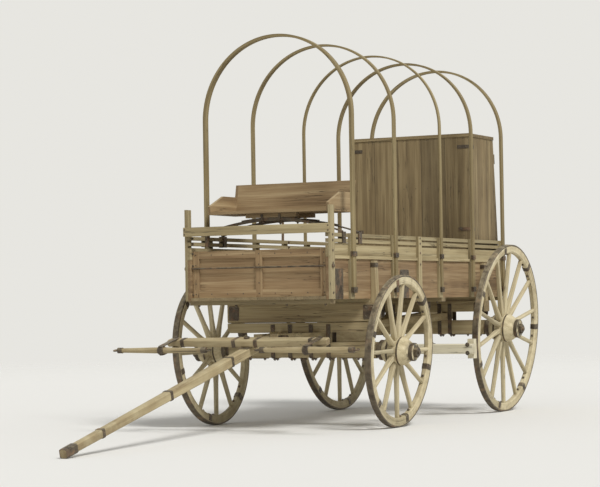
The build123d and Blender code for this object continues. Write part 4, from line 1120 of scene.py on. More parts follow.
@dataclass
class RunningGear:
    """Axles, hounds, bolsters and reach, with the straps and bolts that hold them together."""

    strap: Pair = (0.032, 0.005)
    strap_nuts: float = 0.022  # from the axle's middle
    strap_rivets: Row = (0.02, 0.055)  # below the strap's top
    bend: tuple[float, int] = (0.006, 4)
    bevel: float = 0.010  # of the axles' lower edges
    front_clips: Row = (0.085, 0.225)
    rear_clips: Row = (0.205, 0.295)
    clip_drops: Pair = (0.012, 0.02)  # of the straps' tops below the sand board's and the sills' faces
    skein_strap: Triple = (0.30, 0.036, 0.006)  # length, width, thickness
    skein_bolts: Row = (0.04, 0.15, 0.27)
    skein_nut: float = 0.010
    inset: float = 0.012  # of plates from the ends of timbers, and the radius of their corners
    stake: Triple = (0.557, 0.0345, 0.05)  # inner face, thickness at the band, width
    stake_band: Pair = (0.030, 0.003)
    stake_band_drop: float = 0.03
    stake_rivet: float = 0.007
    bolster_plate: Triple = (0.085, 0.105, 0.004)
    bolster_bolts: Pair = (0.024, 0.032)  # from the plate's middle
    hound_bolts: tuple[Pair, ...] = ((0.262, 0.055), (0.225, 0.215))  # from centre plane and rear end
    hound_nuts: tuple[Pair, ...] = ((0.262, 0.055), (0.30, 0.055))
    hound_head: float = 0.013
    jaw_plate: Triple = (0.17, 0.052, 0.004)
    jaw_inset: float = 0.016  # of the jaws' faces from the tongue pin's end
    jaw_back: float = 0.018  # the plate's middle behind the pin
    jaw_bolts: Pair = (-0.045, 0.085)  # ahead of the pin and behind it
    jaw_corner: float = 0.02
    jaw_head: float = 0.009
    nut: float = 0.012
    rivet: float = 0.008

    def dress_wood(self) -> None:
        """Grain across the wagon in axles and bolsters, upright in stakes, along it in reach and hounds."""
        dress(GEAR_WOOD.along(CROSS), "front_axle", "rear_axle", "sand_board")
        dress(GEAR_WOOD.along(LENGTH), "reach", "rear_hounds")
        stakes = ((Z, corners_of("bed_sills")[0][2] + CLEAR, EVER),)
        dress(GEAR_WOOD.along(PatchedRun("bolsters", CROSS, UPRIGHT, (stakes,))), "bolsters")
        sway = ((Z, -EVER, corners_of("front_axle")[1][2]),)
        dress(GEAR_WOOD.along(PatchedRun("hounds", LENGTH, CROSS, (sway,))), "front_hounds")
        dress(GEAR_IRON.material(), "front_skeins", "rear_skeins", "gear_bolts", "tongue_pin")

    def clips(self, name: str, body: str, axle: str, top: float, places: Row) -> None:
        """Straps under an axle that hold the timbers stacked on it, with their nuts.

        Args:
            name: The piece's name.
            body: The body that it rides on.
            axle: The axle's node.
            top: Height that the straps reach.
            places: Distances from the centre plane.
        """
        low, high = corners_of(axle)
        middle, under = (low[1] + high[1]) / 2, low[2] - SKIN
        gap = self.strap[1] / 2 + SKIN
        half = (high[1] - low[1]) / 2 + gap
        side = [(0, -half, top), (0, -half, low[2] + self.bevel), (0, -half + self.bevel, low[2] - gap)]
        inside = (0, 0, (low[2] + top) / 2)
        irons = Piece(name, body, GEAR_IRON)
        spots = each_side([(x, middle, 0) for x in places])
        bar = flat_bar(there_and_back(side, (1, -1, 1)), self.strap, *self.bend, inside)
        irons.add(placed(bar, spots, np.eye(3)))
        for face in (-1, 1):
            irons.heads(Head.SQUARE, self.nut, spots + (0, face * self.strap_nuts, low[2] - 2 * gap), DOWN)
            for drop in self.strap_rivets:
                at = (0, face * (half + self.strap[1] / 2), top - drop)
                irons.heads(Head.CARRIAGE, self.rivet, spots + at, (0, face, 0))
        end, (length, _, thick) = high[0] - self.inset, self.skein_strap
        irons.plates(self.skein_strap, self.inset, each_side([(end - length / 2, middle, under)]), DOWN)
        nuts = lattice([end - far for far in self.skein_bolts], middle, under - thick)
        irons.heads(Head.SQUARE, self.skein_nut, each_side(nuts), DOWN)
        irons.build()

    def stake_irons(self) -> None:
        """A band near the top of each stake and a bolted plate at each bolster's end."""
        low, high = corners_of("bolsters")
        thickness = self.stake_band[1]
        inner, depth, across = self.stake
        gap = thickness / 2 + SKIN
        level = high[2] - self.stake_band_drop
        x0, x1, y1 = inner - gap, inner + depth + gap, across / 2 + gap
        path = [(x0, -y1, 0), (x1, -y1, 0), (x1, y1, 0), (x0, y1, 0)]
        band = flat_bar(path, self.stake_band, centre=((x0 + x1) / 2, 0, 0), closed=True)
        irons = Piece("stake_irons", "wagon", GEAR_IRON)
        front, rear = joint_of("steer")[0][1], joint_of("rear_left_spin")[0][1]
        for y in (front, rear):
            for mirror in (1.0, -1.0):
                irons.add(placed(band, (0, y, level), np.diag([mirror, 1, 1])), loop=True)
            irons.heads(Head.CARRIAGE, self.stake_rivet, each_side([(x1 + thickness / 2, y, level)]))
        wide, tall, thick = self.bolster_plate
        plate_x = high[0] - self.inset - wide / 2
        plate_z = corners_of("bed_sills")[0][2] - self.inset - tall / 2
        bolt_x, bolt_z = self.bolster_bolts
        faces = ((-1, low[1]), (1, 2 * front - low[1]), (-1, 2 * rear - high[1]), (1, high[1]))
        for face, y in faces:
            centre = each_side([(plate_x, y, plate_z)])
            irons.plates(self.bolster_plate, self.inset, centre, (0, face, 0))
            for place in lattice((-bolt_x, bolt_x), face * thick, (-bolt_z, bolt_z)):
                irons.heads(Head.CARRIAGE, self.rivet, centre + place, (0, face, 0))
        irons.build()

    def hound_irons(self) -> None:
        """Bolts through hounds and sway bar, and plates on the tongue's jaws."""
        low, high = corners_of("front_hounds")
        _, pin_y, pin_z = joint_of("tongue_lift")[0]
        irons = Piece("hound_irons", "front_gear", GEAR_IRON)
        bolts, nuts = (
            each_side([(x, high[1] - ahead, z) for x, ahead in rows])
            for rows, z in ((self.hound_bolts, high[2]), (self.hound_nuts, low[2]))
        )
        irons.heads(Head.CARRIAGE, self.hound_head, bolts, Z)
        irons.heads(Head.SQUARE, self.nut, nuts, DOWN)
        face = corners_of("tongue_pin")[1][0] - self.jaw_inset
        irons.plates(self.jaw_plate, self.jaw_corner, each_side([(face, pin_y + self.jaw_back, pin_z)]))
        heads = each_side([(face + self.jaw_plate[2], pin_y + y, pin_z) for y in self.jaw_bolts])
        irons.heads(Head.CARRIAGE, self.jaw_head, heads)
        irons.build()

    def build(self) -> None:
        """Dresses the gear and adds its irons."""
        self.dress_wood()
        front, rear = corners_of("sand_board")[1][2], corners_of("bed_sills")[0][2]
        self.clips("front_clips", "front_gear", "front_axle", front - self.clip_drops[0], self.front_clips)
        self.clips("rear_clips", "wagon", "rear_axle", rear - self.clip_drops[1], self.rear_clips)
        self.stake_irons()
        self.hound_irons()


# Tongue, doubletree and singletrees


@dataclass
class Hitch:
    """Tongue, doubletree and singletrees, with their bands and rivets."""

    band: Pair = (0.028, 0.0025)
    bend: tuple[float, int] = (0.009, 4)
    tongue_bands: Row = (0.62, 1.45, 2.28)
    tongue_stations: tuple[Row, Row, Row] = (  # distance from the pin, half width, half height
        (0.0, 0.56, 2.7), (0.035, 0.034, 0.023), (0.031, 0.033, 0.025),
    )
    tree_at: Pair = (0.33, 0.064)  # ahead of the tongue's pin and above it
    tree_size: tuple[float, float, float, float] = (0.62, 0.05, 0.029, 0.025)  # half length, widths, depth
    tree_bands: Row = (0.085, 0.50)
    rivet: float = 0.006

    def __post_init__(self) -> None:
        """Reads the tongue's pin and slope from the frame."""
        self.pin, up = joint_of("tongue_lift")[0], joint_of("doubletree_swing")[1]
        self.up = up * np.sign(up[2])
        way = np.cross(self.up, X)
        self.way = way * -np.sign(way[1])

    def ring(self, x: float, y: float) -> Array:
        """A band round a bar of the given half width and half height, in its own plane."""
        gap = self.band[1] / 2 + SKIN
        return flat_bar(rectangle(x + gap, y + gap), self.band, *self.bend, closed=True)

    def build(self) -> None:
        """Dresses the hitch, and puts bands round the tongue and the doubletree."""
        along, trees = tuple(self.way), ("doubletree", "singletree_left", "singletree_right")
        dress(GEAR_WOOD.along(StraightRun("tongue", along, X)), "tongue")
        dress(GEAR_WOOD.along(StraightRun("trees", X, along)), *trees)
        dress(GEAR_IRON.material(), *(f"{name}_irons" for name in ("tongue", *trees[1:])))
        irons = Piece("tongue_bands", "tongue", GEAR_IRON)
        stations, *halves = self.tongue_stations
        for far in self.tongue_bands:
            x, y = (float(np.interp(far, stations, half)) for half in halves)
            spot = self.pin + self.way * far
            irons.add(placed(self.ring(x, y), spot, [X, self.up, self.way]), loop=True)
            irons.heads(Head.CARRIAGE, self.rivet, each_side(spot + (x + self.band[1] + SKIN, 0, 0)))
        irons.build()
        bands = Piece("doubletree_bands", "doubletree", GEAR_IRON)
        half, middle, end, depth = self.tree_size
        centre = self.pin + self.way * self.tree_at[0] + self.up * self.tree_at[1]
        for x in self.tree_bands:
            ring = self.ring(middle + (end - middle) * x / half, depth)
            bands.add(placed(ring, each_side(centre + (x, 0, 0)), [self.way, self.up, X]), loop=True)
        bands.build()


# Wagon box


@dataclass
class WagonBox:
    """Sides, floor, cleats, gate, front rail and bows, with their bolts and nails.

    Places along the box are measured from the front axle; heights are above the sides' foot or top.
    """

    sill_at: Row = (-0.64, 0.0, 0.8, 1.3, 2.08, 2.49)
    open_sills: Row = (-0.64, 0.8, 1.3, 2.49)
    sill_nuts: Row = (0.20, 0.50)
    bow_at: Row = (-0.36, 0.36, 1.21, 1.84, 2.49)
    bow_thick: Row = (0.018, 0.015, 0.013, 0.016, 0.017)
    staple: Triple = (0.962, 0.25, 0.017)  # height of its foot, rise to the upper one, half its own height
    staple_iron: float = 0.006  # how thick the staples are
    rivet: float = 0.0065
    lever_at: float = 0.82  # the cleat beside the brake lever
    cleat_width: float = 0.06
    cleat_boards: float = 0.1
    cleat_nail_inset: float = 0.005  # from the cleat's edges
    rails: Triple = (0.045, 0.115, 0.155)  # heights of bolts in the rails
    bolt_levels: Pair = (0.045, 0.25)  # over the sides' foot
    nail_levels: Pair = (0.02, -0.04)  # over the sides' foot and over their top
    nut_levels: Pair = (0.06, -0.05)  # the same
    slats: Pair = (0.04, -0.012)  # pitch and first edge
    bead: Pair = (0.0112, 0.569)  # half height, half the distance between the posts' inner faces
    rub_at: float = 0.56  # ahead of the front axle and behind it
    rub_iron: Triple = (0.15, 0.21, 0.006)
    rub_inset: float = 0.02
    gate_gap: float = 0.0015  # between the gate and the sides
    gate_frame: float = 0.054  # how wide its timbers are
    gate_face: float = 0.0139  # how far its frame stands out, less a little
    gate_boards: float = 0.11
    gate_nails: int = 9
    gate_nail_at: float = 0.1  # from the gate's foot and top, on its stiles
    sill_boards: float = 0.3
    floor_boards: int = 6
    board_nails: tuple[Pair, ...] = ((0.2, -0.012), (0.8, 0.014))  # share of the board, place on the sill
    rail_bolts: Row = (0.015, 0.049)  # below the front rail's top
    rail_bolt: float = 0.006
    post_inset: float = 0.010  # of the rail's bolts from the posts' faces
    bolt: float = 0.0095
    nail: float = 0.0042
    cleat_nail: float = 0.00336
    gate_nail: float = 0.00504

    def __post_init__(self) -> None:
        """Reads the box's limits from the frame."""
        self.front_y = joint_of("steer")[0][1]
        self.low, self.high = corners_of("lower_sides")
        self.cleat_out = corners_of("side_cleats")[1][0]
        self.floor = corners_of("bed_floor")[1][2]
        self.inside = corners_of("front_gate")[1][0] + self.gate_gap

    def dress_wood(self) -> None:
        """Boards along the wagon, sills across it, upright cleats and bent bows."""
        foot, top = self.low[2], self.high[2]
        board = 2 * self.inside / self.floor_boards
        slat, slat_start = self.slats
        floor = StraightRun("floor", boards=(board, -self.inside))
        side = StraightRun("side", stack=((top - foot) / 2, foot))
        rail = StraightRun("rail", stack=(slat, top + slat_start))
        sill = StraightRun("sill", X, Y, (self.sill_boards, ONE_BOARD[1]))
        post = StraightRun("post", Z, Y, (self.cleat_boards, ONE_BOARD[1]))
        gate = StraightRun("gate_boards", X, Z, (self.gate_boards, self.floor))
        front = ((Y, -EVER, self.low[1] - CLEAR),)
        half, apart = self.bead
        bead = ((Z, top - half, top + half), (X, -apart, apart))
        face = (Y, -EVER, corners_of("front_gate")[0][1] + self.gate_face)
        edge, muntin = self.inside - self.gate_gap - self.gate_frame, self.gate_frame / 2
        stiles = tuple((face, (X, low, high)) for low, high in ((-1, -edge), (-muntin, muntin), (edge, 1)))
        dress(GEAR_WOOD.along(floor), "bed_floor")
        dress(GEAR_WOOD.along(sill), "bed_sills")
        dress(BOX_WOOD.along(side), "lower_sides")
        dress(BOX_WOOD.along(PatchedRun("gate", gate, UPRIGHT, stiles)), "front_gate")
        dress(TRIM_WOOD.along(PatchedRun("rails", rail, CROSS, (front,))), "upper_sides")
        dress(TRIM_WOOD.along(PatchedRun("cleats", post, LENGTH, (bead,))), "side_cleats")
        dress(GEAR_IRON.material(), "box_irons")
        for number, thick in enumerate(self.bow_thick, 1):
            outer, _, crown = corners_of(f"bow_{number}")[1]
            bow = BowRun(f"bow_{number}", crown - outer, outer, outer - thick)
            dress(BOW_WOOD.along(bow), f"bow_{number}")

    def cleat_bolts(self) -> None:
        """Carriage bolts on the cleats that carry no bow, nails on the rest, and nuts inside."""
        foot, top = self.low[2], self.high[2]
        clear = (self.low[1] + self.cleat_width / 2, self.front_y + self.lever_at)
        rails = [top + up for up in self.rails]
        bolts = each_side(lattice(self.cleat_out, clear, (*(foot + up for up in self.bolt_levels), *rails)))
        outward = np.sign(bolts) * X
        bows = self.front_y + np.array(self.bow_at)
        edge = self.cleat_width / 2 - self.cleat_nail_inset
        beside = np.add.outer(bows, (-edge, edge)).ravel()
        low, high = self.nail_levels
        nails = lattice(self.cleat_out, beside, (foot + low, top + high, *rails[1:]))
        low, high = self.nut_levels
        nuts = each_side(lattice(self.inside, bows[:-1], (foot + low, top + high, rails[0])))
        start, rise, middle = self.staple
        rivets = [
            (self.cleat_out + thick + self.staple_iron, y, start + up + middle)
            for y, thick in zip(bows, self.bow_thick)
            for up in (0, rise)
        ]
        fasten(
            "cleat_bolts",
            "wagon",
            (Head.CARRIAGE, self.bolt, bolts),
            (Head.SQUARE, self.bolt, bolts - outward * (self.cleat_out - self.inside), -outward),
            (Head.NAIL, self.cleat_nail, each_side(nails)),
            (Head.SQUARE, self.bolt, nuts, -np.sign(nuts) * X),
            (Head.CARRIAGE, self.rivet, each_side(rivets)),
        )

    def floor_nails(self) -> None:
        """Two nails through each floor board into each sill, and nuts under the sills' ends."""
        pitch = 2 * self.inside / self.floor_boards
        boards = pitch * np.arange(self.floor_boards) - self.inside
        rows = [
            lattice(boards + pitch * share, self.sill_at, self.floor, (0, self.front_y + shift, 0))
            for share, shift in self.board_nails
        ]
        under = corners_of("bed_sills")[0][2]
        nuts = each_side(lattice(self.sill_nuts, self.open_sills, under, (0, self.front_y, 0)))
        nails = (Head.NAIL, self.nail, np.concatenate(rows), Z)
        fasten("floor_nails", "wagon", nails, (Head.SQUARE, self.bolt, nuts, DOWN))

    def rub_nails(self) -> None:
        """A nail in each corner of the irons that the front wheels rub on in a tight turn."""
        wide, tall, thick = self.rub_iron
        half, end = wide / 2 - self.rub_inset, tall / 2 - self.rub_inset
        beside = np.add.outer((-self.rub_at, self.rub_at), (-half, half)).ravel()
        middle = (self.high[0] + thick, self.front_y, self.low[2] + tall / 2)
        spots = each_side(lattice(0, beside, (-end, end), middle))
        fasten("rub_nails", "wagon", (Head.CARRIAGE, self.rivet, spots))

    def front_nails(self) -> None:
        """Nails round the gate's frame and bolts through the front rail."""
        low, high = corners_of("front_gate")
        inset, level = self.gate_frame / 2, self.gate_nail_at
        xs = np.linspace(low[0] + inset, high[0] - inset, self.gate_nails)
        frame_nails = lattice(xs, low[1], (low[2] + inset, high[2] - inset))
        stile_nails = lattice((xs[0], 0, xs[-1]), low[1], (low[2] + level, high[2] - level))
        (_, rail_y, _), (_, _, rail_top) = corners_of("upper_sides")
        post = (self.cleat_out - self.post_inset, rail_y, rail_top)
        bolts = each_side(lattice(0, 0, np.negative(self.rail_bolts), post))
        fasten(
            "front_nails",
            "wagon",
            (Head.NAIL, self.gate_nail, np.concatenate([frame_nails, stile_nails]), AHEAD),
            (Head.CARRIAGE, self.rail_bolt, bolts, AHEAD),
        )

    def build(self) -> None:
        """Dresses the box and adds its fastenings."""
        self.dress_wood()
        self.cleat_bolts()
        self.floor_nails()
        self.rub_nails()
        self.front_nails()


@dataclass
class SpringSeat:
    """The sprung seat at the front, on its two leaf springs."""

    springs: Row = (-0.46, -0.20)  # from the front axle, towards the tail
    spring_width: float = 0.042
    leaves: float = 0.024  # how thick the spring's leaves are together
    riser: float = 0.03  # how high the seat's risers are
    plank: Pair = (0.2, 0.002)  # pitch of the boards, width of their seams
    end_board: float = 0.0205  # a little more than an end's thickness
    end_nails: tuple[float, float, int] = (0.05, 0.36, 5)  # first and last behind the front edge, number
    end_nail_up: float = 0.01
    back_nails: Row = (0.02, 0.06, 0.10)  # heights on the back
    back: Triple = (0.386, 0.05, 0.2126)  # its foot behind the front edge and above the seat, its slope
    clip: Pair = (0.018, 0.005)
    clip_at: float = 0.07
    clip_up: float = 0.024  # of its ends over the springs
    clip_bend: tuple[float, int] = (0.006, 4)
    hook: Pair = (0.5655, 1.343)  # the bolt's place across and up
    hook_bolt: float = 0.0085
    nut: float = 0.008
    nail: float = 0.004

    def dress_wood(self) -> None:
        """Grain along the seat, and front to back in its ends."""
        low, high = corners_of("seat")
        pitch, seam = self.plank
        plank = StraightRun("plank", X, Y, (pitch, low[1]), seam=seam)
        end = high[0] - self.end_board
        raised = (Z, low[2] + self.riser + CLEAR, EVER)
        ends = tuple(((X, *limits), raised) for limits in ((end, EVER), (-EVER, -end)))
        dress(SEAT_WOOD.along(PatchedRun("seat", plank, LENGTH, ends)), "seat")
        dress(GEAR_IRON.material(), "seat_springs")

    def irons(self) -> None:
        """Clips that hold the springs to the seat's risers, bolts on the hooks, and nails in the seat."""
        low, high = corners_of("seat")
        front_y = joint_of("steer")[0][1]
        top = corners_of("seat_springs")[1][2]
        gap = self.clip[1] / 2 + SKIN
        half = self.spring_width / 2 + gap
        side = [(0, -half, top + self.clip_up), (0, -half, top - self.leaves - gap)]
        clip = flat_bar(there_and_back(side, (1, -1, 1)), self.clip, *self.clip_bend, (0, 0, top))
        irons = Piece("seat_irons", "wagon", GEAR_IRON)
        for y in (front_y + at for at in self.springs):
            irons.add(placed(clip, each_side([(self.clip_at, y, 0)]), np.eye(3)))
            irons.heads(Head.CARRIAGE, self.hook_bolt, each_side([(self.hook[0], y, self.hook[1])]))
            nuts = each_side([(self.clip_at, y, top - self.leaves - 2 * gap)])
            irons.heads(Head.SQUARE, self.nut, nuts, DOWN)
        foot_y, foot_z, slope = self.back
        level = low[2] + self.riser + self.end_nail_up
        ends = lattice(high[0], low[1] + np.linspace(*self.end_nails), level)
        backs = [(high[0], low[1] + foot_y + z * slope, low[2] + foot_z + z) for z in self.back_nails]
        irons.heads(Head.NAIL, self.nail, each_side(ends))
        irons.heads(Head.NAIL, self.nail, each_side(backs))
        irons.build()

    def build(self) -> None:
        """Dresses the seat and adds its irons."""
        self.dress_wood()
        self.irons()


@dataclass
class ChuckBox:
    """The kitchen box at the tail, with its drop lid and folding leg."""

    board: float = 0.2076  # how wide its planks are
    wall: Triple = (0.2, 0.012, 0.0022)  # pitch and inset of the boards front to back, width of seams
    strip: float = 0.006  # of the front wall behind the case's foremost face
    top_board: float = 0.0261  # a little more than its thickness
    slope: float = math.radians(5)  # how far the lid leans
    shelves: Triple = (1.224, 1.409, 1.799)  # heights of their middles
    shelf_half: float = 0.009
    lid: float = 0.0245  # its gap and its planks' thickness
    batten: float = 0.018  # how thick a batten is
    batten_boards: float = 0.4
    batten_at: Pair = (0.17, 1.11)
    batten_nail: float = 0.02  # from the batten's middle line
    batten_gap: float = 0.3  # beyond this the upper batten has no nails
    strap: Pair = (0.028, 0.0025)
    strap_bend: tuple[float, int] = (0.005, 5)
    strap_leg: float = 0.10
    strap_heights: Pair = (1.46, 2.12)
    strap_rivets: Pair = (0.3, 0.8)  # shares of a leg
    nail_columns: int = 10
    top_drop: float = 0.04  # of the uppermost nails
    side_nails: tuple[float, float, int] = (0.04, 0.44, 5)  # first and last behind the wall, number
    top_nails: Pair = (0.011, 0.46)
    hasp: Triple = (0.038, 0.115, 0.003)
    hasp_corner: float = 0.014
    hasp_foot: float = 1.165
    hasp_rivets: Row = (0.02, 0.055, 0.095)
    hinge: Pair = (0.33, 0.0285)  # from the centre plane, out of the case
    hinge_rivets: Pair = (0.05, 0.11)
    leg_band: Triple = (0.02405, 0.01605, 0.0015)  # half width and depth, iron
    leg_band_width: float = 0.03
    leg_foot: Pair = (0.245, 0.0625)  # up the lid, out of the case
    rivet: float = 0.0055
    hasp_rivet: float = 0.006
    nail: float = 0.0038

    def __post_init__(self) -> None:
        """Reads the case's corners and the lid's plane from the frame."""
        self.low, self.high = corners_of("chuck_case")
        self.half = corners_of("chuck_lid")[1][0]
        self.foot = corners_of("bed_floor")[1] * (0, 1, 1)
        self.out = np.array([0, math.cos(self.slope), math.sin(self.slope)])
        self.rise = np.array([0, -math.sin(self.slope), math.cos(self.slope)])
        self.columns = (np.arange(self.nail_columns) - (self.nail_columns - 1) / 2) * self.board / 2

    def on_lid(self, rows: Points) -> Array:
        """Points given as distance from the centre plane, height up the lid and distance out of the case."""
        return self.foot + np.array(rows) @ np.stack([X, self.rise, self.out])

    def dress_wood(self) -> None:
        """Upright planks with level battens, shelves and top board."""
        pitch, inset, seam = self.wall
        walls = StraightRun("walls", Z, X, (self.board, -self.half), (pitch, self.low[1] - inset), seam)
        top = ((Z, self.high[2] - self.top_board, EVER),)
        dress(CHUCK_WOOD.along(PatchedRun("case", walls, CROSS, (top,))), "chuck_case")
        shelf, divider = StraightRun("shelf", X, Z), StraightRun("divider", Z, Y)
        levels, half = (-EVER, *self.shelves, EVER), self.shelf_half + CLEAR
        bays = tuple(((Z, low + half, high - half),) for low, high in zip(levels, levels[1:]))
        dress(CHUCK_WOOD.along(PatchedRun("shelves", shelf, divider, bays)), "chuck_shelves")
        dress(TRIM_WOOD.along(shelf), "chuck_drawers")
        up, out = tuple(self.rise), tuple(self.out)
        planks = StraightRun("planks", up, X, (self.board, -self.half))
        batten = StraightRun("batten", X, up, (self.batten_boards, ONE_BOARD[1]))
        raised = ((out, float(self.foot @ self.out) + self.lid + CLEAR, EVER),)
        dress(CHUCK_WOOD.along(PatchedRun("lid", planks, batten, (raised,))), "chuck_lid")
        dress(TRIM_WOOD.along(StraightRun("leg", up, X)), "lid_leg")
        dress(GEAR_IRON.material(), "lid_irons")

    def case_irons(self) -> None:
        """Angle irons on the front corners, and nails where shelves meet the walls."""
        irons = Piece("case_irons", "wagon", GEAR_IRON)
        wall_y, leg, out = self.low[1] + self.strip, self.strap_leg, self.strap[1] / 2
        x, y = self.half + out + SKIN, wall_y - out - SKIN
        path = [(x - leg, y, 0), (x, y, 0), (x, y + leg, 0)]
        angle = flat_bar(path, self.strap, *self.strap_bend, (x - leg, y + leg, 0))
        for mirror in (1.0, -1.0):
            irons.add(placed(angle, [(0, 0, z) for z in self.strap_heights], np.diag([mirror, 1, 1])))
        fars = leg * np.array(self.strap_rivets)
        front = each_side(lattice(x - fars, y - out, self.strap_heights))
        side = each_side(lattice(x + out, y + fars, self.strap_heights))
        irons.heads(Head.CARRIAGE, self.rivet, front, AHEAD)
        irons.heads(Head.CARRIAGE, self.rivet, side)
        above = corners_of("front_gate")[1][2]
        levels = [z for z in (*self.shelves, self.high[2] - self.top_drop) if z > above]
        sides = each_side(lattice(self.half, wall_y + np.linspace(*self.side_nails), levels))
        tops = lattice(self.columns, self.top_nails, self.high[2], (0, wall_y, 0))
        for spots, way in ((lattice(self.columns, wall_y, levels), AHEAD), (sides, None), (tops, Z)):
            irons.heads(Head.NAIL, self.nail, spots, way)
        irons.build()

    def lid_fittings(self) -> None:
        """Clinched nails along the battens, rivets in the hinge straps, and the hasp."""
        irons = Piece("lid_fittings", "chuck_lid", GEAR_IRON)
        low, high = self.batten_at
        inner = self.columns[np.abs(self.columns) < self.batten_gap]
        for columns, at in ((self.columns, low), (inner, high)):
            nails = lattice(columns, (at - self.batten_nail, at + self.batten_nail), self.lid + self.batten)
            irons.heads(Head.NAIL, self.nail, self.on_lid(nails), self.out)
        hinge_x, hinge_out = self.hinge
        straps = each_side(lattice(hinge_x, self.hinge_rivets, hinge_out))
        irons.heads(Head.CARRIAGE, self.rivet, self.on_lid(straps), self.out)
        _, tall, thick = self.hasp
        plate = rounded_plate(*self.hasp, self.hasp_corner)
        spot = self.on_lid([(0, self.hasp_foot + tall / 2, self.lid + SKIN)])
        irons.add(placed(plate, spot, [X, self.rise, self.out]))
        rivets = lattice(0, self.hasp_rivets, self.lid + SKIN + thick, (0, self.hasp_foot, 0))
        irons.heads(Head.CARRIAGE, self.hasp_rivet, self.on_lid(rivets), self.out)
        irons.build()
        shoe = Piece("leg_shoe", "lid_leg", GEAR_IRON)
        across, deep, wall = self.leg_band
        band = flat_bar(rectangle(across, deep), (self.leg_band_width, wall), closed=True)
        shoe.add(placed(band, self.on_lid([(0, *self.leg_foot)]), [X, self.out, self.rise]), loop=True)
        shoe.build()

    def build(self) -> None:
        """Dresses the box and adds its irons."""
        self.dress_wood()
        self.case_irons()
        self.lid_fittings()


@dataclass
class Brake:
    """Brake beam with its shoes, hangers, lever and rod."""

    shoe_x: float = 0.753
    shoe_drops: Pair = (-0.032, 0.032)
    shoe_back: float = 0.102  # behind the beam irons' foremost face
    hanger: Triple = (0.4245, 0.033, 0.038)  # the foot's edge, its place on the beam, half the beam's height
    foot: Triple = (0.045, 0.036, 0.005)
    foot_corner: float = 0.008
    bolt: float = 0.010
    washer: float = 0.017
    washer_depth: float = 0.002
    lever_seat: float = 0.0005  # between the lever and its washer

    def build(self) -> None:
        """Dresses the brake, and adds the bolts of shoes, hangers and lever."""
        low, high = corners_of("brake_beam")
        shoes = ((Y, corners_of("beam_irons")[0][1] + self.shoe_back + CLEAR, EVER),)
        dress(BEAM_WOOD.along(PatchedRun("beam", CROSS, UPRIGHT, (shoes,))), "brake_beam")
        dress(GEAR_IRON.material(), "beam_irons", "brake_irons", "brake_lever", "brake_rod")
        middle = (low[2] + high[2]) / 2
        irons = Piece("brake_bolts", "brake_beam", GEAR_IRON)
        heads = each_side(lattice(self.shoe_x, low[1], self.shoe_drops, (0, 0, middle)))
        irons.heads(Head.WASHER, self.washer, heads, AHEAD)
        irons.heads(Head.SQUARE, self.bolt, heads - (0, self.washer_depth, 0), AHEAD)
        edge, back, top = self.hanger
        feet = each_side([(edge + self.foot[0] / 2, low[1] + back, middle + top)])
        irons.plates(self.foot, self.foot_corner, feet, Z)
        irons.heads(Head.SQUARE, self.bolt, feet + (0, 0, self.foot[2]), Z)
        irons.build()
        _, pivot_y, pivot_z = joint_of("brake_lever_throw")[0]
        spot = np.array([corners_of("brake_lever")[0][0] - self.lever_seat, pivot_y, pivot_z])
        nut = (Head.HEX, self.bolt, spot - (self.washer_depth, 0, 0))
        fasten("lever_nut", "brake_lever", (Head.WASHER, self.washer, spot), nut)


# Studio


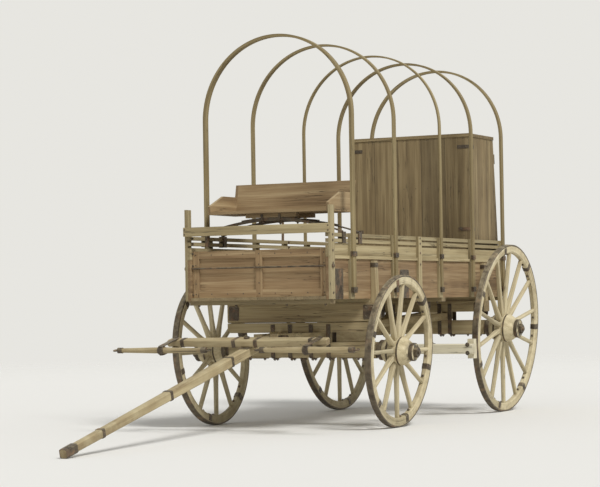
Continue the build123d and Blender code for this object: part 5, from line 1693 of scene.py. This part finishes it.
@dataclass
class Studio:
    """Floor, light and the camera at the photograph's place."""

    camera_at: Triple = (6.78, -13.17, 0.91)
    aim: Triple = (0.20, -0.22, 1.31)
    lens: float = 124.0
    roll: float = -0.91
    reach: float = 200.0
    floor_colour: Colour = (0.80, 0.79, 0.75)
    world_light: float = 0.46
    sun_strength: float = 2.5
    sun_from: Triple = (0.62, -0.35, 0.78)
    sun_angle: float = 16.0
    rings: Row = (0.5, 2.0, 6.0, 14.0, 45.0)
    sides: int = 64
    fade: Pair = (9.0, 20.0)

    def stand(self, thing: bpy.types.Object, axes: Points, place: Points) -> None:
        """Links a camera or lamp.

        Args:
            thing: The camera or lamp.
            axes: Its three axes.
            place: Where it stands.
        """
        rows = np.eye(4)
        rows[:3, :3], rows[:3, 3] = np.array(axes).T, place
        thing.matrix_world = Matrix(rows.tolist())
        bpy.context.scene.collection.objects.link(thing)

    def camera(self) -> None:
        """A camera in the photograph's direction, turned to the wagon."""
        place = np.array(self.camera_at)
        back = unit(place - self.aim)
        right = unit(np.cross(Z, back))
        turn = math.radians(self.roll)
        tilted = math.cos(turn) * right + math.sin(turn) * np.cross(back, right)
        lens = bpy.data.cameras.new("camera")
        lens.lens, lens.clip_end = self.lens, self.reach
        camera = bpy.data.objects.new("camera", lens)
        self.stand(camera, [tilted, np.cross(back, tilted), back], place)
        bpy.context.scene.camera = camera

    def floor(self) -> None:
        """A disc of rings (r cos t, r sin t, 0) that fades into the pale world."""
        spots = turned([(radius, 0) for radius in self.rings], self.sides)
        quads, caps = face_rows(len(self.rings), self.sides, False)
        mesh = bpy.data.meshes.new("floor")
        faces = [*quads[:, ::-1].tolist(), caps[0][::-1].tolist()]
        mesh.from_pydata(spots.reshape(-1, 3).tolist(), [], faces)
        kit = Kit(bpy.data.materials.new("studio_floor"))
        away = Val(kit, kit.vector("LENGTH", kit.place)["Value"])
        colour = {"Base Color": (*self.floor_colour, 1), "Roughness": 0.95, "Specular IOR Level": 0.1}
        paint = kit.node("ShaderNodeBsdfPrincipled", None, colour).outputs[0]
        clear = kit.node("ShaderNodeBsdfTransparent").outputs[0]
        faded = kit.node("ShaderNodeMixShader", None, {0: away.ramp(*self.fade), 1: paint, 2: clear})
        kit.node("ShaderNodeOutputMaterial", None, {"Surface": faded.outputs[0]})
        mesh.materials.append(kit.owner)
        floor = bpy.data.objects.new("floor", mesh)
        bpy.context.scene.collection.objects.link(floor)

    def light(self) -> None:
        """One wide sun and an even sky, which the camera sees as a pale backdrop."""
        sun = bpy.data.lights.new("sun", "SUN")
        sun.energy, sun.angle = self.sun_strength, math.radians(self.sun_angle)
        self.stand(bpy.data.objects.new("sun", sun), bases(self.sun_from)[0], np.zeros(3))
        world = bpy.data.worlds.new("sky")
        bpy.context.scene.world = world
        kit = Kit(world)
        path = kit.node("ShaderNodeLightPath")
        seen = Val(kit, path.outputs["Is Camera Ray"])
        for name in ("Is Glossy Ray", "Is Transmission Ray"):
            seen = seen.math("MAXIMUM", path.outputs[name])
        even = {"Color": (1, 1, 1, 1), "Strength": self.world_light}
        lit = kit.node("ShaderNodeBackground", None, even).outputs[0]
        pale = kit.node("ShaderNodeBackground", None, {"Color": (*self.floor_colour, 1)}).outputs[0]
        both = kit.node("ShaderNodeMixShader", None, {0: seen, 1: lit, 2: pale})
        kit.node("ShaderNodeOutputWorld", None, {"Surface": both.outputs[0]})

    def build(self) -> None:
        """Builds the studio."""
        self.camera()
        self.floor()
        self.light()
        bpy.context.scene.view_settings.view_transform = "Standard"


def main() -> None:
    """Builds every sub-assembly in order."""
    logging.basicConfig(level=logging.INFO, format="%(name)s: %(message)s")
    wheels = [Wheel(f"{end}_{side}", spokes) for end, spokes in SPOKES.items() for side in ("left", "right")]
    parts = [RunningGear(), Hitch(), WagonBox(), SpringSeat(), ChuckBox(), Brake(), Studio()]
    for assembly in wheels + parts:
        assembly.build()
        LOG.info("%s done", type(assembly).__name__)


if __name__ == "__main__":
    main()
